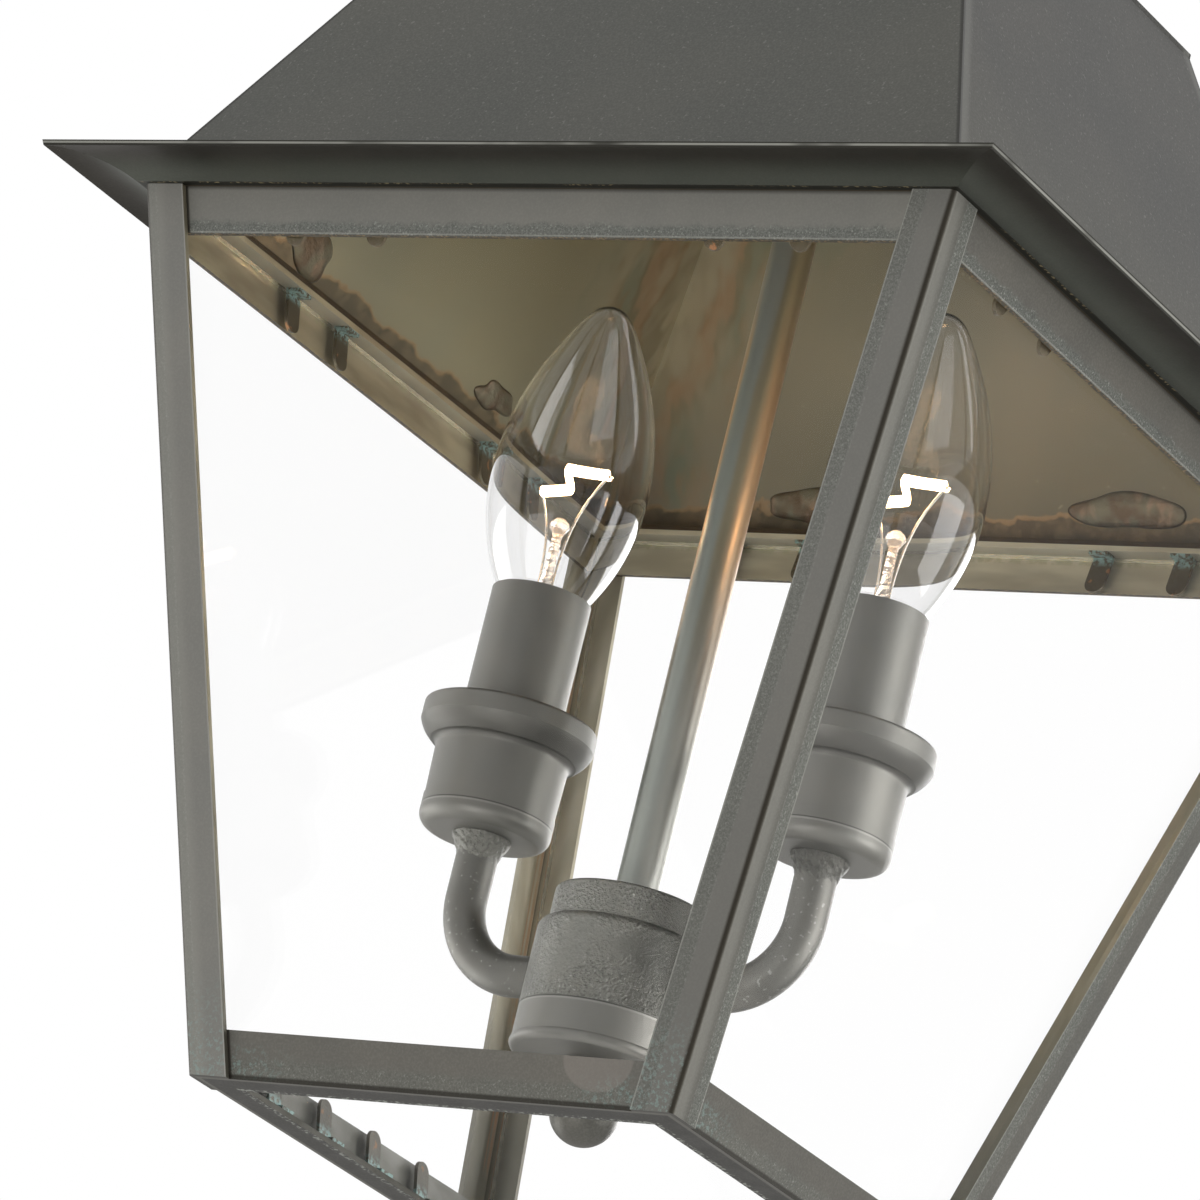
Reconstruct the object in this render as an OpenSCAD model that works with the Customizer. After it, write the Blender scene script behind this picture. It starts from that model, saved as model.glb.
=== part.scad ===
// Outdoor pendant light: a tapered four-sided glazed lantern with a hipped roof,
// a two-light candle cluster inside, and a short chain to a ceiling canopy.
// +Z is up, the origin is the middle of the ceiling face, and X runs along the two arms.

/* [Lantern frame] */
// Width over the corner posts at their top
top_w = 200; // [170:1:240]
// Width over the corner posts at their foot
bottom_w = 119; // [112:1:150]
// Height of the corner posts
frame_h = 185.2; // [178:0.2:230]
// Leg of the corner angle, along each face
post_leg = 10; // [8:0.5:14]
// Height of the upright leg of the rails
rail_h = 10; // [8:0.5:14]
// Width of the level leg of the rails
rail_leg = 8; // [6.5:0.5:10]
// Wall of the angle sections
angle_t = 1.2; // [0.8:0.1:1.6]
// Outer radius of the bend along each angle's corner
bend_r = 1.6; // [1.2:0.1:3]

/* [Glass] */
// Thickness of the panes
glass_t = 2; // [1.5:0.5:3]
// Clearance between a pane and the metal it lies against
glass_gap = 0.2; // [0.1:0.1:0.4]

/* [Glass clips] */
// Width of a soldered clip
clip_w = 4.8; // [3:0.1:6]
// Length of a clip along the glass
clip_l = 9.6; // [7:0.1:12]
// Thickness of a soldered clip
clip_t = 0.8; // [0.5:0.1:1.2]
// Spacing of the clips
clip_pitch = 20.6; // [14:0.1:22]

/* [Brim and roof] */
// How far the brim reaches past the post tops
brim_reach = 16.3; // [10:0.1:24]
// Rise of the brim from its foot to its lip
brim_rise = 1.4; // [0.5:0.1:4]
// Depth of the brim's cove
brim_cove = 1.6; // [0.6:0.1:3]
// Thickness of the brim and roof sheet
sheet_t = 1.2; // [0.8:0.1:1.6]
// Height of the main roof
roof_h = 101.6; // [60:0.2:140]
// Width across the top of the main roof
roof_top_w = 109.6; // [90:0.2:124]

/* [Chimney] */
// Width of the square chimney
chimney_w = 60; // [50:1:72]
// Height of the chimney
chimney_h = 22; // [16:1:34]
// Width of one vent slot
vent_w = 4; // [2:0.5:5]
// Number of vent slots in each side
vent_n = 4; // [2:1:5]
// How far the small brim of the cap reaches past the chimney
cap_reach = 9; // [6:0.5:14]
// Height of the cap's small roof
cap_h = 21; // [12:1:32]
// Width across the flat top of the cap
cap_top_w = 20; // [18:1:26]

/* [Candle cluster] */
// Diameter of the centre stem
stem_d = 9.5; // [8:0.5:12]
// Wall of the stem and arms
tube_t = 1.2; // [0.8:0.1:1.6]
// Diameter of the arms
arm_d = 9.2; // [8:0.1:10]
// Distance from the stem to each candle
arm_reach = 42.2; // [40:0.2:48]
// Radius of the bend of each arm, to its centre line
arm_bend = 17; // [14:0.5:18]
// Height of the arms above the foot of the posts
arm_z = 45.3; // [42:0.5:60]
// Diameter of the cast hub
hub_d = 37.6; // [34:0.2:44]
// Diameter of the lip of each cup
cup_lip_d = 38.4; // [34:0.2:44]
// Diameter of each candle sleeve
sleeve_d = 22.1; // [21.6:0.1:24]
// Height of the candle sleeve above the lip of its cup
sleeve_show = 28.3; // [18:0.1:45]
// Diameter of the ball below the hub
finial_d = 14.8; // [10:0.2:20]

/* [Bulbs] */
// Widest diameter of the bulb
bulb_d = 32; // [28:0.5:34]
// Height of the glass above the candle sleeve
bulb_show = 70.4; // [50:0.2:80]
// Diameter of the screw base
base_d = 11.9; // [11.7:0.1:12]
// Clearance of the screw base in its lampholder
socket_gap = 0.3; // [0.3:0.05:0.4]

/* [Chain and hanging loops] */
// Wire diameter of the chain
link_wire = 3.8; // [3:0.1:4.2]
// Length of one link, outside
link_l = 38; // [30:1:48]
// Width of one link, outside
link_w = 21; // [19:0.5:24]
// Wire diameter of the lantern's loop
ring_wire = 4.4; // [3.6:0.1:4.8]
// Outer diameter of the lantern's loop
ring_d = 26.4; // [23:0.2:30]
// Wire diameter of the canopy's loop
hook_wire = 4.2; // [3.6:0.1:4.6]
// Outer diameter of the canopy's loop
hook_d = 25; // [22:0.2:26]
// Clearance between one link and the next
link_gap = 0.3; // [0.2:0.05:0.4]

/* [Canopy] */
// Diameter of the canopy
canopy_d = 127; // [114:1:150]
// Depth of the canopy
canopy_h = 22; // [20:1:30]
// Diameter of the loop's thread for the screw collar
thread_d = 25.6; // [25.2:0.2:28]
// Outer diameter of the screw collar
collar_d = 38; // [34:1:44]
// Height of the screw collar
collar_h = 6.8; // [5:0.2:8]
// Length of the crossbar
bar_l = 102; // [98:1:106]
// Width of the crossbar
bar_w = 20; // [18:1:28]
// Thickness of the crossbar
bar_t = 2.5; // [2:0.5:3]
// Spacing of the two fixing holes
box_pitch = 88.9; // [82:0.1:90]
// Diameter of the fixing holes
box_hole_d = 4.8; // [4.2:0.1:5.2]

/* [Hidden] */
$fn = 64;

// Finishes as the photograph shows them
bronze = "#73716b";
raw_brass = "#7a7259";
clear_glass = "#dfe6e6";
socket_black = "#2c2b29";
nickel = "#b9b7ae";

// Slope of the four faces: half a width grows by face_k for each unit of height
face_k = (top_w - bottom_w) / 2 / frame_h;
face_sl = sqrt(1 + face_k * face_k);
face_tilt = atan(face_k);
corner_lean = atan(face_k * sqrt(2));
far = 400;
function half_w(z) = bottom_w / 2 + face_k * z;
// Y of the front face at height z, moved inwards by a depth square to the face
function face_y(z, depth) = -half_w(z) + depth * face_sl;

// Glass: a pane lies against the rails, and its side edges stop short of the next pane
pane_depth = 2 * angle_t + glass_gap;
pane_side = (pane_depth + glass_t) * face_sl + 0.6;
pane_z0 = angle_t + glass_gap - pane_depth * sin(face_tilt);
pane_z1 = frame_h - angle_t - glass_gap - (pane_depth + glass_t) * sin(face_tilt);

// Inner edges of the level legs, on which the clips are soldered
top_edge = face_y(frame_h, angle_t) + rail_leg;
bottom_edge = face_y(0, angle_t) + rail_leg;
bottom_clip_n = 4;
bottom_clip_mid = 2.4;
// Middles of the two pairs of clips under each top rail: front, right, back, left
top_clip_pairs = [[-52, 52], [-52, 52], [-48.3, 48.3], [-49.8, 35.5]];
clip_inset = 0.3;
clip_depth = pane_depth + glass_t + glass_gap;

// Brim and roof
seat_z = frame_h + sheet_t;
roof_foot = half_w(frame_h) + 0.5;
seat_half = roof_foot + 0.8;
lip_half = half_w(frame_h) + brim_reach;
roof_z1 = seat_z + roof_h;
roof_top = roof_top_w / 2;

// Chimney and its cap
plate_z1 = roof_z1 + sheet_t;
chimney_z1 = plate_z1 + chimney_h;
cap_seat = chimney_z1 + sheet_t;
cap_z1 = cap_seat + cap_h;
cap_rise = 1;
cap_cove = 1;

// Loop on top of the lantern: a turned knob with a ring
knob_h = 9;
knob_d = 16;
ring_r = (ring_d - ring_wire) / 2;
ring_sink = 0.6;
ring_z = cap_z1 + knob_h + ring_r - ring_sink;

// Hub heights, from its lower band to its cap
hub_above = 10.2;
hub_below = 9.1;
hub_cap_h = 7.6;
hub_cap_step = 1.9;
band_step = 0.2;
band_h = 9.6;
finial_neck = 10.3;
hub_z1 = arm_z + hub_above;
hub_z0 = arm_z - hub_below;
hub_cap_z1 = hub_z1 + hub_cap_h;
hub_cap_d = hub_d - 2 * hub_cap_step;
band_d = hub_d + 2 * band_step;
band_z0 = hub_z0 - band_h;
hub_wall = 3;
boss_d = 16;
finial_z = band_z0 - finial_neck;
finial_shank = 6;
nut_af = 17;
nut_h = 5;
stem_gap = 0.1;

// Cup heights: floor, foot of the lip and its top
cup_lift = 30.8;
cup_body_h = 18;
cup_lip_h = 9.7;
cup_z0 = arm_z + cup_lift;
cup_neck = cup_z0 + cup_body_h;
cup_z1 = cup_neck + cup_lip_h;
cup_floor = 2.4;
cup_body_d = 29.4;
sleeve_wall = 0.6;
sleeve_gap = 0.15;
sleeve_z1 = cup_z1 + sleeve_show;
sleeve_z0 = cup_z0 + cup_floor;
arm_end = sleeve_z0 + 3;

// Bulb: widest height, and its lower end in the screw base
bulb_r = bulb_d / 2;
bulb_mid = sleeve_z1 + 0.41 * bulb_show;
bulb_tip = sleeve_z1 + bulb_show;
lower_l = 37;
bulb_foot = bulb_mid - lower_l;
base_l = 21;
base_z0 = bulb_foot - base_l;
base_skirt = 1.4;
glass_wall = 0.7;
// The lower half is an arc that comes in to the neck. The upper half closes like a candle flame,
// with a blunt tip of radius tip_r that fades into the shoulder over tip_fade
neck_r = 6;
tip_r = 4.7;
tip_fade = 3.8;
lower_arc = (lower_l * lower_l + (bulb_r - neck_r) * (bulb_r - neck_r)) / 2 / (bulb_r - neck_r);
upper_l = bulb_tip - bulb_mid;
function bulb_low(z, r) = sqrt(lower_arc * lower_arc - (bulb_mid - z) * (bulb_mid - z)) - lower_arc + r;
function blunt(t) = 2 * tip_r * t * exp(-t / tip_fade);
function bulb_high(s, r) = sqrt(pow(r * pow(1 - s * s, 0.855), 2) + blunt(upper_l * (1 - s)));

// Chain: a loop's wire centre at its lowest point is the pivot of the link below it
hook_r = (hook_d - hook_wire) / 2;
link_r = (link_w - link_wire) / 2;
link_run = link_l - link_w;
link_pitch = link_l - 2 * link_wire - link_gap;
neck_z1 = -canopy_h + 10;
neck_z0 = -canopy_h - collar_h - 1.8;
hook_z = neck_z0 - hook_r - 0.8;
pivot_0 = hook_z - hook_r;
pivot_1 = link_bottom(pivot_0, hook_wire);
pivot_2 = link_bottom(pivot_1, link_wire);
pivot_3 = link_bottom(pivot_2, link_wire);
function link_bottom(pivot, wire) = pivot + (wire + link_wire) / 2 + link_gap - (link_l - link_wire);
// The lantern hangs with its ring over the last link's wire
lantern_z = pivot_3 + (ring_wire + link_wire) / 2 + link_gap - ring_r - ring_z;
bar_hole_d = 10;
shank_gap = 0.05;
canopy_gap = 0.4;
collar_gap = 0.2;

// Places children that are drawn at the lantern's own height, foot of the posts at zero
module hang() {
  translate([0, 0, lantern_z]) children();
}

// Turns a piece of the front face to side n: 0 front, 1 right, 2 back, 3 left
module side(n) {
  rotate([0, 0, 90 * n]) children();
}

// Prism over the front quarter of the plan, whose sides are the mitres
module front_quarter() {
  translate([0, 0, -far]) linear_extrude(3 * far) polygon([[0, 0], [-far, -far], [far, -far]]);
}

// A profile drawn in Y and Z, run along X and mitred at both ends
module mitred_run() {
  intersection() {
    rotate([90, 0, 90]) translate([0, 0, -far / 2]) linear_extrude(far) children();
    front_quarter();
  }
}

// Plane of the front face: X across, Y up the slope, extruded inwards from a depth
module in_face(depth, t) {
  translate([0, -half_w(0), 0])
    rotate([90 + face_tilt, 0, 0])
      translate([0, 0, -depth - t])
        linear_extrude(t) children();
}

// Trims what runs past the foot and the top of the posts
module within_frame_height() {
  intersection() {
    children();
    translate([-far, -far, 0]) cube([2 * far, 2 * far, frame_h]);
  }
}

// One flange of a corner post, on the front face at its left
module post_flange(over) {
  in_face(0, angle_t) polygon([
    [-half_w(-over), -over * face_sl],
    [-half_w(-over) + post_leg, -over * face_sl],
    [-half_w(frame_h + over) + post_leg, (frame_h + over) * face_sl],
    [-half_w(frame_h + over), (frame_h + over) * face_sl]
  ]);
}

// Line of the corner between the front and left faces, moved in by r from both
module along_corner(r) {
  translate([-half_w(0) + r * face_sl, -half_w(0) + r * face_sl, 0])
    rotate([0, 0, 45]) rotate([0, -corner_lean, 0]) children();
}

// Corner post: two flanges mitred together, with the bend rounded outside
module corner_post(n) {
  over = 3;
  run = (frame_h + 6 * over) / cos(corner_lean);
  color(bronze) hang() side(n) within_frame_height() difference() {
    union() {
      intersection() {
        post_flange(over);
        front_quarter();
      }
      mirror([1, -1, 0]) intersection() {
        post_flange(over);
        front_quarter();
      }
    }
    difference() {
      along_corner(bend_r) translate([-3 * bend_r, -3 * bend_r / 2, -over])
        cube([3 * bend_r - bend_r * sin(45) + 0.02, 3 * bend_r, run]);
      along_corner(bend_r) translate([0, 0, -2 * over]) cylinder(r = bend_r, h = run + 2 * over);
    }
  }
}

module top_rail(n) {
  color(bronze) hang() side(n) mitred_run() polygon([
    [face_y(frame_h - rail_h, angle_t), frame_h - rail_h],
    [face_y(frame_h, angle_t), frame_h],
    [top_edge, frame_h],
    [top_edge, frame_h - angle_t],
    [face_y(frame_h - angle_t, 2 * angle_t), frame_h - angle_t],
    [face_y(frame_h - rail_h, 2 * angle_t), frame_h - rail_h]
  ]);
}

module bottom_rail(n) {
  color(bronze) hang() side(n) mitred_run() polygon([
    [face_y(0, angle_t), 0],
    [face_y(rail_h, angle_t), rail_h],
    [face_y(rail_h, 2 * angle_t), rail_h],
    [face_y(angle_t, 2 * angle_t), angle_t],
    [bottom_edge, angle_t],
    [bottom_edge, 0]
  ]);
}

module glass_pane(n) {
  color(clear_glass, 0.35) hang() side(n) in_face(pane_depth, glass_t) polygon([
    [-half_w(pane_z0) + pane_side, pane_z0 * face_sl],
    [half_w(pane_z0) - pane_side, pane_z0 * face_sl],
    [half_w(pane_z1) - pane_side, pane_z1 * face_sl],
    [-half_w(pane_z1) + pane_side, pane_z1 * face_sl]
  ]);
}

// A clip on a level leg at height z: a foot that lies on the leg as far as its inner edge,
// and a strip with a round end along the glass, up to height z + reach
module clip(z, edge, reach) {
  foot = z + sign(reach) * clip_t;
  end = z + reach;
  crown = end - sign(reach) * clip_w / 2;
  intersection() {
    translate([-clip_w / 2, 0, 0]) rotate([90, 0, 90]) linear_extrude(clip_w) union() {
      polygon([
        [face_y(z, clip_depth), z], [edge - clip_inset, z],
        [edge - clip_inset, foot], [face_y(foot, clip_depth), foot]
      ]);
      polygon([
        [face_y(z, clip_depth), z], [face_y(z, clip_depth + clip_t), z],
        [face_y(end, clip_depth + clip_t), end], [face_y(end, clip_depth), end]
      ]);
    }
    rotate([90, 0, 0]) linear_extrude(far) {
      translate([0, crown]) circle(d = clip_w);
      translate([-clip_w / 2, min(z, crown)]) square([clip_w, abs(crown - z)]);
    }
  }
}

module top_clips() {
  color(raw_brass) hang() for (n = [0:3], middle = top_clip_pairs[n], s = [-1, 1])
    side(n) translate([middle + s * clip_pitch / 2, 0, 0]) clip(frame_h - angle_t, top_edge, -clip_l);
}

module bottom_clips() {
  first = bottom_clip_mid - clip_pitch * (bottom_clip_n - 1) / 2;
  color(raw_brass) hang() for (n = [0:3], i = [0:bottom_clip_n - 1])
    side(n) translate([first + i * clip_pitch, 0, 0]) clip(angle_t, bottom_edge, clip_l);
}

// Cove brim profile: a level flange from in_y to seat_y, then an arc out to the lip
module cove_profile(in_y, seat_y, lip_y, z, rise, cove) {
  chord = sqrt(pow(lip_y - seat_y, 2) + rise * rise);
  arc_r = (chord * chord / 4 + cove * cove) / 2 / cove;
  lean = atan(rise / (lip_y - seat_y));
  sweep = asin(chord / 2 / arc_r);
  translate([-seat_y, z]) square([seat_y - in_y, sheet_t]);
  translate([-(seat_y + lip_y) / 2, z + rise / 2]) rotate(-lean) translate([0, cove - arc_r])
    intersection() {
      difference() {
        circle(arc_r + sheet_t, $fn = 180);
        circle(arc_r, $fn = 180);
      }
      polygon([[0, 0], 3 * arc_r * [-sin(sweep), cos(sweep)], 3 * arc_r * [sin(sweep), cos(sweep)]]);
    }
}

// Sheet that slopes in from half width a at z0 to half width b at z1
module slope_profile(a, z0, b, z1) {
  t = sheet_t * sqrt(1 + pow((a - b) / (z1 - z0), 2));
  polygon([[-a, z0], [-b, z1], [-b + t, z1], [-a + t, z0]]);
}

module brim(n) {
  color(bronze) hang() side(n) mitred_run()
    cove_profile(-top_edge, seat_half, lip_half, frame_h, brim_rise, brim_cove);
}

module roof_panel(n) {
  color(bronze) hang() side(n) mitred_run()
    slope_profile(roof_foot, seat_z, roof_top, roof_z1);
}

module roof_plate() {
  color(bronze) hang() difference() {
    translate([-roof_top, -roof_top, roof_z1]) cube([2 * roof_top, 2 * roof_top, sheet_t]);
    translate([0, 0, roof_z1 - 1]) cylinder(d = stem_d + 2 * stem_gap, h = sheet_t + 2);
  }
}

// Square chimney with upright vent slots in each side
module chimney() {
  slot_h = chimney_h - 10;
  pitch = chimney_w / (vent_n + 1);
  color(bronze) hang() difference() {
    translate([0, 0, plate_z1]) linear_extrude(chimney_h) difference() {
      square(chimney_w, center = true);
      square(chimney_w - 2 * sheet_t, center = true);
    }
    for (n = [0:3], i = [1:vent_n])
      side(n) translate([i * pitch - chimney_w / 2, 0, plate_z1 + 5]) rotate([90, 0, 0]) linear_extrude(far) {
        translate([-vent_w / 2, vent_w / 2]) square([vent_w, slot_h - vent_w]);
        translate([0, vent_w / 2]) circle(d = vent_w);
        translate([0, slot_h - vent_w / 2]) circle(d = vent_w);
      }
  }
}

// Cap: a small cove brim, four sloping sides and a flat top, folded from one sheet
module chimney_cap() {
  cap_in = chimney_w / 2 - 6;
  cap_out = chimney_w / 2 + 0.6;
  color(bronze) hang() {
    for (n = [0:3]) side(n) mitred_run() {
      cove_profile(cap_in, cap_out, chimney_w / 2 + cap_reach, chimney_z1, cap_rise, cap_cove);
      slope_profile(cap_out, cap_seat - 0.2, cap_top_w / 2, cap_z1);
    }
    difference() {
      translate([-cap_top_w / 2, -cap_top_w / 2, cap_z1 - sheet_t]) cube([cap_top_w, cap_top_w, sheet_t]);
      translate([0, 0, cap_z1 - sheet_t - 1]) cylinder(d = stem_d + 2 * stem_gap, h = sheet_t + 2);
    }
  }
}

// Turned knob that screws on the stem above the cap, with the hanging ring brazed on
module lantern_loop() {
  r = knob_d / 2;
  color(bronze) hang() {
    difference() {
      translate([0, 0, cap_z1]) rotate_extrude() union() {
        square([r, 2.5]);
        translate([0, 2.5]) square([r - 2, knob_h - 2.5]);
        translate([r - 2, 3.8]) circle(1.3);
        translate([r - 2, knob_h - 1.6]) circle(1.6);
      }
      translate([0, 0, cap_z1 - 1]) cylinder(d = stem_d + 2 * stem_gap, h = 6);
    }
    translate([0, 0, ring_z]) rotate([90, 0, 0]) rotate_extrude() translate([ring_r, 0]) circle(d = ring_wire);
  }
}

// Centre stem, from inside the hub up to the knob
module stem() {
  z0 = hub_z1 - hub_wall;
  color(bronze) hang() translate([0, 0, z0]) difference() {
    cylinder(d = stem_d, h = cap_z1 + 4.6 - z0);
    translate([0, 0, -1]) cylinder(d = stem_d - 2 * tube_t, h = cap_z1 + 7 - z0);
  }
}

// Nut with its washer, flat side down
module nut(bore_d) {
  difference() {
    union() {
      cylinder(d = nut_af + 6, h = 1.5);
      translate([0, 0, 1.5]) cylinder(d = nut_af / cos(30), h = nut_h, $fn = 6);
    }
    translate([0, 0, -1]) cylinder(d = bore_d, h = nut_h + 4);
  }
}

// The roof plate is clamped between two nuts on the stem
module stem_nuts() {
  color(nickel) hang() {
    translate([0, 0, plate_z1]) nut(stem_d + 2 * stem_gap);
    translate([0, 0, roof_z1]) mirror([0, 0, 1]) nut(stem_d + 2 * stem_gap);
  }
}

// Disc with its upper edge rounded, as half a profile
module soft_disc(r, h, edge) {
  square([r - edge, h]);
  square([r, h - edge]);
  translate([r - edge, h - edge]) circle(edge);
}

module hub_cap() {
  edge = 0.7;
  color(bronze) hang() translate([0, 0, hub_z1]) difference() {
    rotate_extrude() intersection() {
      soft_disc(hub_cap_d / 2, hub_cap_z1 - hub_z1, edge);
      square([far, far]);
    }
    translate([0, 0, -1]) cylinder(d = stem_d + 2 * stem_gap, h = hub_cap_z1);
  }
}

// Cast hub: an open cylinder with a closed top, a boss and a hole for each arm
module hub_body() {
  h = hub_z1 - hub_z0;
  shoulder = 2;
  color(bronze) hang() difference() {
    translate([0, 0, hub_z0]) union() {
      difference() {
        rotate_extrude() soft_disc(hub_d / 2, h, shoulder);
        translate([0, 0, -1]) cylinder(d = hub_d - 2 * hub_wall, h = h - hub_wall + 1);
      }
      cylinder(d = boss_d, h = h - hub_wall + 0.1);
    }
    translate([0, 0, hub_z1 - hub_wall]) cylinder(d = stem_d + 2 * stem_gap, h = hub_wall + 1);
    translate([0, 0, hub_z0 - 1]) cylinder(d = finial_shank + 0.2, h = 9);
    translate([0, 0, arm_z]) rotate([0, 90, 0]) {
      translate([0, 0, boss_d / 2 + 1]) cylinder(d = arm_d + 0.2, h = hub_d);
      translate([0, 0, -boss_d / 2 - 1 - hub_d]) cylinder(d = arm_d + 0.2, h = hub_d);
    }
  }
}

// Spun cover that closes the hub from below, with a bead round its foot
module hub_cover() {
  r = band_d / 2;
  bead = 1.5;
  bead_step = 0.3;
  wall = 1.6;
  h = hub_z0 - band_z0;
  color(bronze) hang() translate([0, 0, band_z0]) difference() {
    rotate_extrude() union() {
      square([r - bead, h]);
      translate([0, bead]) square([r - bead_step, h - bead]);
      translate([r - bead, bead]) circle(bead);
    }
    translate([0, 0, wall]) cylinder(r = r - bead_step - wall, h = h);
    translate([0, 0, -1]) cylinder(d = finial_shank + 0.4, h = 4);
  }
}

// Ball with a neck, whose screw holds the cover up against the hub
module hub_finial() {
  neck_z = finial_z + 0.4 * finial_d;
  color(bronze) hang() {
    translate([0, 0, finial_z]) sphere(d = finial_d);
    translate([0, 0, neck_z]) cylinder(d = 8, h = band_z0 - neck_z - 1);
    translate([0, 0, band_z0 - 1.6]) cylinder(d = 13, h = 1.6);
    translate([0, 0, band_z0 - 1]) cylinder(d = finial_shank, h = hub_z0 - band_z0 + 7);
  }
}

// Path of an arm: out of the hub, round the bend and up into the cup
module arm_path(d, over) {
  x0 = boss_d / 2 + 1.4;
  bend_x = arm_reach - arm_bend;
  translate([x0 - over, 0, arm_z]) rotate([0, 90, 0]) cylinder(d = d, h = bend_x - x0 + over);
  translate([bend_x, 0, arm_z + arm_bend]) rotate([90, 0, 0]) rotate([0, 0, -90])
    rotate_extrude(angle = 90) translate([arm_bend, 0]) circle(d = d);
  translate([arm_reach, 0, arm_z + arm_bend]) cylinder(d = d, h = arm_end - arm_z - arm_bend + over);
}

// Arm, with the brazed flare on which its cup sits
module arm(s) {
  flare_h = 3;
  flare = 3.2;
  color(bronze) hang() mirror([s < 0 ? 1 : 0, 0, 0]) difference() {
    union() {
      arm_path(arm_d, 0);
      translate([arm_reach, 0, cup_z0 - flare_h]) cylinder(d1 = arm_d + 0.6, d2 = arm_d + flare, h = flare_h);
    }
    arm_path(arm_d - 2 * tube_t, 1);
  }
}

// Turned cup: a rounded foot with a fine step above it, a nearly straight body, and a lip whose
// underside is an arc that meets the body in a small cove
module cup(s) {
  lip_r = cup_lip_d / 2;
  body_r = cup_body_d / 2;
  bore_r = sleeve_d / 2 + sleeve_gap;
  foot = 3;
  foot_band = 6.8;
  foot_step = 0.2;
  taper = 0.3;
  cove = 1.5;
  lip_arc = 8;
  arc_cut = 0.5;
  arc_drop = 1.5;
  lip_edge = 0.8;
  h = cup_z1 - cup_z0;
  neck = cup_neck - cup_z0;
  foot_r = body_r - taper + foot_step;
  color(bronze) hang() translate([s * arm_reach, 0, cup_z0]) difference() {
    rotate_extrude() union() {
      square([foot_r - foot, foot]);
      translate([foot_r - foot, foot]) intersection() {
        circle(foot);
        translate([0, -foot]) square(2 * foot);
      }
      translate([0, foot]) square([foot_r, foot_band - foot]);
      polygon([[0, foot_band], [body_r - taper, foot_band], [body_r, neck], [0, neck]]);
      difference() {
        translate([0, neck]) square([body_r + cove, cove]);
        translate([body_r + cove, neck]) circle(cove);
      }
      intersection() {
        translate([lip_r - lip_arc + arc_cut, h - arc_drop]) circle(lip_arc, $fn = 128);
        translate([0, neck + cove]) square([lip_r, h - neck - cove - lip_edge]);
      }
      translate([0, neck]) square([body_r, h - neck - lip_edge]);
      translate([lip_r - lip_edge, h - lip_edge]) circle(lip_edge);
      translate([0, h - lip_edge]) square([lip_r - lip_edge, lip_edge]);
    }
    translate([0, 0, cup_floor]) cylinder(r = bore_r, h = h);
    translate([0, 0, -1]) cylinder(d = arm_d + 0.2, h = cup_floor + 2);
  }
}

// Lampholder: moulded body round the bore that takes the screw base
module lampholder(s) {
  r = sleeve_d / 2 - sleeve_wall - 0.45;
  z0 = sleeve_z0;
  color(socket_black) hang() translate([s * arm_reach, 0, 0]) difference() {
    translate([0, 0, z0]) cylinder(r = r, h = bulb_foot - 0.6 - z0);
    translate([0, 0, z0 - 1]) cylinder(d = arm_d + 0.2, h = arm_end - z0 + 1.3);
    translate([0, 0, base_z0 - 1.2]) cylinder(d = base_d + 2 * socket_gap, h = far);
  }
}

// Candle sleeve: a thin tube over the lampholder
module candle(s) {
  color(bronze) hang() translate([s * arm_reach, 0, sleeve_z0]) difference() {
    cylinder(d = sleeve_d, h = sleeve_z1 - sleeve_z0);
    translate([0, 0, -1]) cylinder(d = sleeve_d - 2 * sleeve_wall, h = sleeve_z1 - sleeve_z0 + 2);
  }
}

// Half profile of the bulb, shrunk by t
module bulb_half(t) {
  steps = 14;
  low = [for (i = [0:steps]) let (z = bulb_foot + (bulb_mid - bulb_foot) * i / steps)
    [bulb_low(z, bulb_r) - t, z]];
  high = [for (i = [1:steps]) let (s = sin(90 * i / steps))
    [bulb_high(s, bulb_r - t), bulb_mid + (upper_l - t) * s]];
  polygon(concat([[0, bulb_foot]], low, high));
}

module bulb_glass(s) {
  color(clear_glass, 0.35) hang() translate([s * arm_reach, 0, 0]) rotate_extrude() difference() {
    bulb_half(0);
    translate([0, -0.01]) bulb_half(glass_wall);
  }
}

// Screw base with a skirt that cups the neck of the glass and a contact below
module bulb_base(s) {
  color(nickel) hang() translate([s * arm_reach, 0, 0]) difference() {
    union() {
      translate([0, 0, base_z0 + 2]) cylinder(d = base_d, h = base_l - 2);
      translate([0, 0, base_z0]) cylinder(d1 = 4, d2 = base_d - 1, h = 2);
    }
    translate([0, 0, bulb_foot - base_skirt]) cylinder(r = neck_r - 1.2, h = far);
  }
}

// Glass stem inside the bulb that carries the filament wires
module bulb_mount(s) {
  z0 = bulb_foot - base_skirt;
  rod_r = 2;
  flare_h = 9;
  rod_z = flare_h - 0.1;
  button_z = 26.2;
  color(clear_glass, 0.6) hang() translate([s * arm_reach, 0, z0]) {
    cylinder(r1 = neck_r - 1.5, r2 = rod_r, h = flare_h);
    translate([0, 0, rod_z]) cylinder(r = rod_r, h = button_z - rod_z);
    translate([0, 0, button_z]) sphere(r = rod_r);
  }
}

// One oval link in the XZ plane, with its lowest wire centre at the given height
module oval_link(bottom) {
  rotate([90, 0, 0]) translate([0, bottom + link_r, 0]) {
    rotate([0, 0, 180]) rotate_extrude(angle = 180) translate([link_r, 0]) circle(d = link_wire);
    translate([0, link_run, 0]) rotate_extrude(angle = 180) translate([link_r, 0]) circle(d = link_wire);
    for (s = [-1, 1]) translate([s * link_r, 0, 0]) rotate([-90, 0, 0]) cylinder(d = link_wire, h = link_run);
  }
}

// Each link is turned a quarter to the one above
module chain_link(i) {
  bottoms = [pivot_1, pivot_2, pivot_3];
  color(bronze) rotate([0, 0, i % 2 == 0 ? 90 : 0]) oval_link(bottoms[i]);
}

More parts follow.
